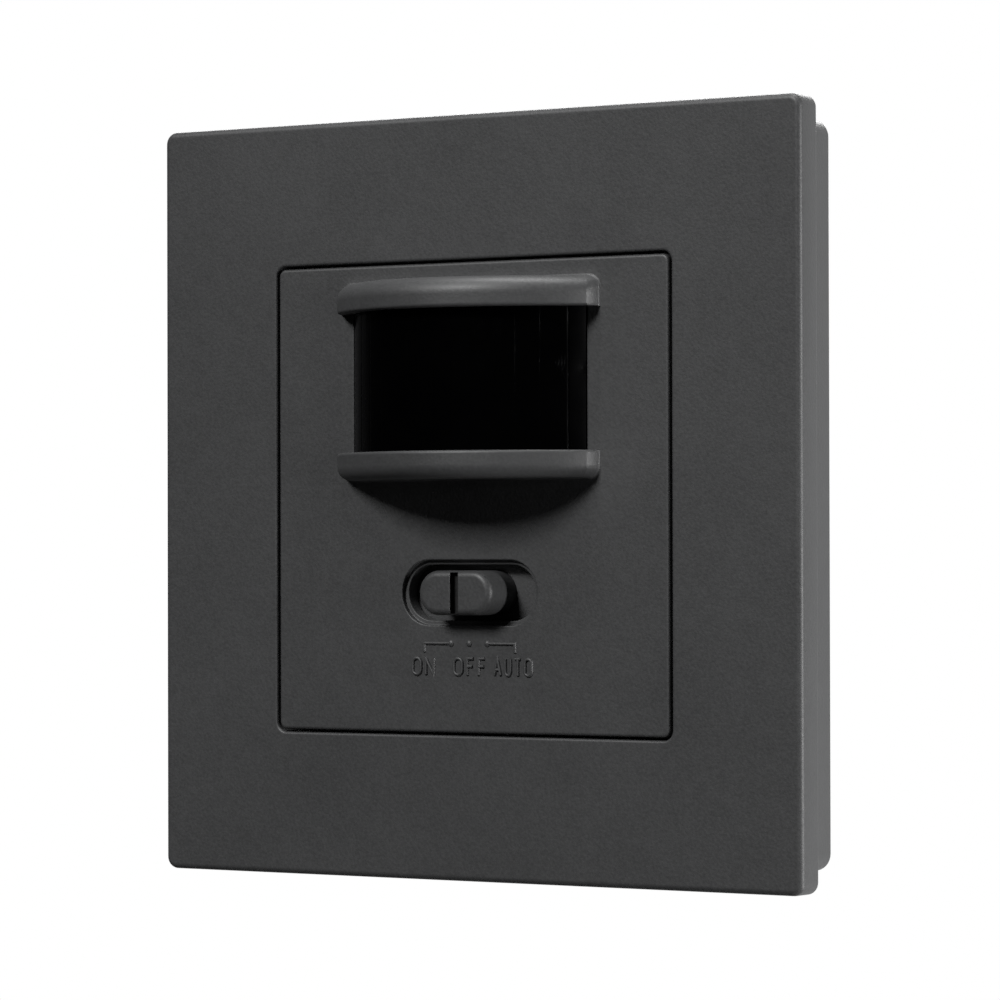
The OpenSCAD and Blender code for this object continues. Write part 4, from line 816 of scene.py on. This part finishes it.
def lens_finish():
    """Black infrared plastic: the ring steps of each upright segment show as a faint bump. Rings are
    ellipses about a point on the segment's middle line, lower from each segment to the next, and the bump
    is the fraction of their radius over the ring pitch."""
    finish = Finish("lens_black", Specular_IOR_Level=0.03)
    x, _, z = finish.axes()
    segment = (x - SEGMENT_START * MM) / (SEGMENT_PITCH * MM)
    number = segment.math("FLOOR")
    across = (segment - number - 0.5) * (SEGMENT_PITCH * MM)
    above = z - RING_Z * MM + number * (RING_SHIFT * MM)
    radius = (across * across * RING_SQUEEZE + above * above) ** 0.5
    ring = (radius / (RING_PITCH * MM)).math("FRACT")
    mist = finish.noise(240)
    finish.feed("Base Color", finish.mix(mist, (0.0003, 0.0003, 0.0004, 1), (0.0007, 0.0007, 0.0008, 1)))
    finish.feed("Roughness", 0.16 + mist * 0.08)
    finish.bump(ring, strength=0.22, distance=0.00006)
    return finish


def board_finish():
    """Solder mask over copper tracks: square cells whose edges are the tracks, and a weave in the green."""
    finish = Finish("board_green", Specular_IOR_Level=0.4)
    cells = finish.node("ShaderNodeTexVoronoi", {"distance": "CHEBYCHEV", "feature": "DISTANCE_TO_EDGE"},
                        {"Vector": finish.place, "Scale": 210.0}, "Distance")
    track = cells.math("LESS_THAN", 0.16)
    weave = finish.noise(1800)
    base = finish.mix(weave, (0.006, 0.075, 0.028, 1), (0.012, 0.12, 0.045, 1))
    finish.feed("Base Color", finish.mix(track, base, (0.03, 0.19, 0.07, 1)))
    finish.feed("Roughness", 0.34 + weave * 0.12)
    finish.bump(track * 0.6 + weave * 0.3, strength=0.3, distance=0.00003)
    return finish


def wound_finish():
    """Enamelled wire: turns side by side along the depth, as a wave in roughness and bump. The wave has
    9000 radians for each metre, a turn about every 0.7 mm."""
    finish = Finish("wire_copper", Metallic=0.6)
    _, y, _ = finish.axes()
    wave = (y * 9000).math("SINE")
    tone = finish.noise(300)
    finish.feed("Base Color", finish.mix(tone, (0.2, 0.05, 0.015, 1), (0.32, 0.1, 0.03, 1)))
    finish.feed("Roughness", 0.38 - wave * 0.08)
    finish.bump(wave * 0.5 + 0.5, strength=0.6, distance=0.00015)
    return finish


def cell_finish():
    """Light-dependent resistor: dark stripes of track over a pale face, where a wave of the height, of
    7500 radians for each metre, is above a level."""
    finish = Finish("cell_face", Specular_IOR_Level=0.5)
    _, _, z = finish.axes()
    track = (z * 7500).math("SINE").math("GREATER_THAN", 0.35)
    tone = finish.noise(700)
    pale = finish.mix(tone, (0.5, 0.3, 0.16, 1), (0.6, 0.37, 0.2, 1))
    finish.feed("Base Color", finish.mix(track, pale, (0.2, 0.08, 0.02, 1)))
    finish.feed("Roughness", 0.3 + tone * 0.15)
    finish.bump(tone, strength=0.15, distance=0.00002)
    return finish


def front_plastic(name):
    """Dark grey plastic of the frame, the plate, the legend and the selector."""
    return moulded(name, (0.045, 0.0455, 0.0465), 0.5, grain=3400, depth=0.00005, specular=0.5, spread=0.48)


anthracite = front_plastic("anthracite_plastic")
# The selector's plastic, with painted shade in its groove
knob_anthracite = painted_groove_shade(front_plastic("knob_anthracite"))
lens_black = lens_finish()
carrier_grey = moulded("carrier_grey", (0.14, 0.145, 0.15), 0.5)
housing_black = moulded("housing_black", (0.03, 0.031, 0.033), 0.5, grain=4200)
zinc_sheet = metal("zinc_sheet", (0.55, 0.56, 0.58), 0.36, "X")
screw_zinc = metal("screw_zinc", (0.6, 0.61, 0.62), 0.3, "Y", grain=420)
can_nickel = metal("can_nickel", (0.6, 0.6, 0.58), 0.2, "Y", grain=500)
brass_cage = metal("brass_cage", (0.62, 0.42, 0.12), 0.3, "Z", grain=340)
silicon_dark = moulded("silicon_dark", (0.03, 0.033, 0.04), 0.14, grain=900, depth=0.000004, specular=0.6)
nylon_pale = moulded("nylon_pale", (0.68, 0.66, 0.6), 0.45)
phenolic_brown = moulded("phenolic_brown", (0.24, 0.11, 0.03), 0.5, grain=2600)
trimmer_blue = moulded("trimmer_blue", (0.03, 0.11, 0.37), 0.4)
chip_black = moulded("chip_black", (0.012, 0.012, 0.013), 0.5, grain=7000)
resistor_dark = moulded("resistor_dark", (0.03, 0.028, 0.026), 0.3, grain=6000)
relay_blue = moulded("relay_blue", (0.022, 0.11, 0.36), 0.36)
film_yellow = moulded("film_yellow", (0.55, 0.38, 0.04), 0.36)
sleeve_blue = moulded("sleeve_blue", (0.02, 0.035, 0.14), 0.26, grain=1500, depth=0.000008)
varistor_blue = moulded("varistor_blue", (0.025, 0.15, 0.4), 0.32, grain=1200, depth=0.00004)

finishes = {
    carrier_grey: ["lens_retainer", "front_carrier"],
    zinc_sheet: ["support_plate", "slide_switch_case"],
    housing_black: ["rear_housing", "terminal_block", "fuse", "bridge_rectifier"],
    screw_zinc: ["case_screws", "board_screws", "terminal_screws"],
    can_nickel: ["pir_sensor_can"],
    silicon_dark: ["pir_sensor_window"],
    nylon_pale: ["pir_sensor_spacer", "slide_switch_lever", "time_trimmer_dial", "lux_trimmer_dial"],
    board_finish(): ["circuit_board"],
    cell_finish(): ["light_sensor"],
    phenolic_brown: ["slide_switch_base"],
    brass_cage: ["slide_switch_wiper", "terminal_cages"],
    trimmer_blue: ["time_trimmer_body", "lux_trimmer_body"],
    chip_black: ["control_chip"],
    resistor_dark: ["chip_resistors"],
    relay_blue: ["relay"],
    film_yellow: ["film_capacitor"],
    sleeve_blue: ["electrolytic_capacitors"],
    wound_finish(): ["suppression_choke"],
    varistor_blue: ["varistor"],
}
for finish, nodes in finishes.items():
    for node in nodes:
        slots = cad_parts[node].data.materials
        slots.clear()
        slots.append(finish.material)

cover_frame_shell().make("frame_cover", "switch_body", "anthracite_plastic", anthracite, "cover_frame")
centre_plate_shell().make(
    "plate_with_hood", "switch_body", "anthracite_plastic", anthracite, "centre_plate")
fresnel_lens_shell().make("lens_segments", "switch_body", "lens_plastic", lens_black, "fresnel_lens")
selector_knob_shell().make(
    "knob_grooved", "selector", "anthracite_plastic", knob_anthracite, "selector_knob")
legend_shell().make("legend_raised", "switch_body", "anthracite_plastic", anthracite)


def lamp(name, place, target, size, power):
    """Soft rectangular lamp that looks at a point. Its width is level, or along X where it looks down."""
    data = bpy.data.lights.new(name, "AREA")
    data.shape = "RECTANGLE"
    data.size, data.size_y = size
    data.energy = power
    made = bpy.data.objects.new(name, data)
    back = unit(np.subtract(place, target))
    looks_down = abs(back[2]) > 0.95
    right = unit(np.cross((0, 1, 0) if looks_down else (0, 0, 1), back))
    facing = np.stack([right, np.cross(back, right), back], 1)
    made.matrix_world = Matrix.Translation(place) @ Matrix(facing.tolist()).to_4x4()
    bpy.context.scene.collection.objects.link(made)


lamp("key_lamp", place=(-0.44, -1.70, 1.32), target=(0, 0, 0), size=(0.55, 0.62), power=44.0)
lamp("top_lamp", place=(0.0, -0.030, 0.50), target=(0, -0.01, 0), size=(0.30, 0.03), power=2.0)
lamp("right_lamp", place=(0.42, -0.035, 0.0), target=(0, -0.01, 0), size=(0.03, 0.10), power=1.25)
lamp("side_lamp", place=(0.30, 0.06, -0.16), target=(0.04, 0, 0), size=(0.10, 0.10), power=0.65)
lamp("rear_lamp", place=(-0.25, 0.55, 0.25), target=(0, 0, 0), size=(0.4, 0.4), power=4.0)

# White background for the camera, and behind the object for reflections, with dim light from elsewhere
world = bpy.data.worlds.new("studio")
bpy.context.scene.world = world
world.use_nodes = True
world.node_tree.nodes.clear()
sky = Nodes(world.node_tree)
ray = sky.outputs("ShaderNodeLightPath")
way = sky.outputs("ShaderNodeSeparateXYZ", {0: sky.node("ShaderNodeTexCoord", output="Generated")})
behind = sky.node("ShaderNodeMapRange", None, {"Value": way["Y"], "From Min": 0.4, "From Max": 0.75})
seen = ray["Is Camera Ray"] + (ray["Is Glossy Ray"] + ray["Is Transmission Ray"]) * behind
dim = sky.node("ShaderNodeBackground", None, {"Color": (1, 1, 1, 1), "Strength": 0.01})
white = sky.node("ShaderNodeBackground", None, {"Color": (1, 1, 1, 1), "Strength": 1.0})
either = sky.node("ShaderNodeMixShader", None, {0: seen, 1: dim, 2: white})
sky.node("ShaderNodeOutputWorld", None, {0: either})

# Pale floor well below the object
FLOOR_HALF, FLOOR_Z = 0.4, -1.1
floor = Finish("floor_pale", Roughness=0.9, Specular_IOR_Level=0.0)
floor.feed("Base Color", floor.mix(floor.noise(8), (0.86, 0.86, 0.86, 1), (0.9, 0.9, 0.9, 1)))
floor_corners = [(x * FLOOR_HALF, y * FLOOR_HALF, FLOOR_Z) for x, y in ((-1, -1), (1, -1), (1, 1), (-1, 1))]
floor_mesh = bpy.data.meshes.new("floor")
floor_mesh.from_pydata(floor_corners, [], [(0, 1, 2, 3)])
floor_mesh.materials.append(floor.material)
floor_piece = bpy.data.objects.new("floor", floor_mesh)
bpy.context.scene.collection.objects.link(floor_piece)

# Camera: turned to the right of the object's front, level with its middle
CAMERA_PLACE = (0.27882, -0.41756, -0.00529)
CAMERA_TURNS = ((33.95, "Z"), (0.58, "X"), (0.137, "Y"), (90, "X"))
camera_data = bpy.data.cameras.new("camera")
camera_data.sensor_width = 36
camera_data.lens = 168.85
camera_data.clip_start, camera_data.clip_end = 0.01, 20
camera = bpy.data.objects.new("camera", camera_data)
view = Matrix.Translation(CAMERA_PLACE)
for angle, axis in CAMERA_TURNS:
    view = view @ Matrix.Rotation(math.radians(angle), 4, axis)
camera.matrix_world = view
bpy.context.scene.collection.objects.link(camera)
bpy.context.scene.camera = camera
bpy.context.scene.view_settings.view_transform = "Standard"
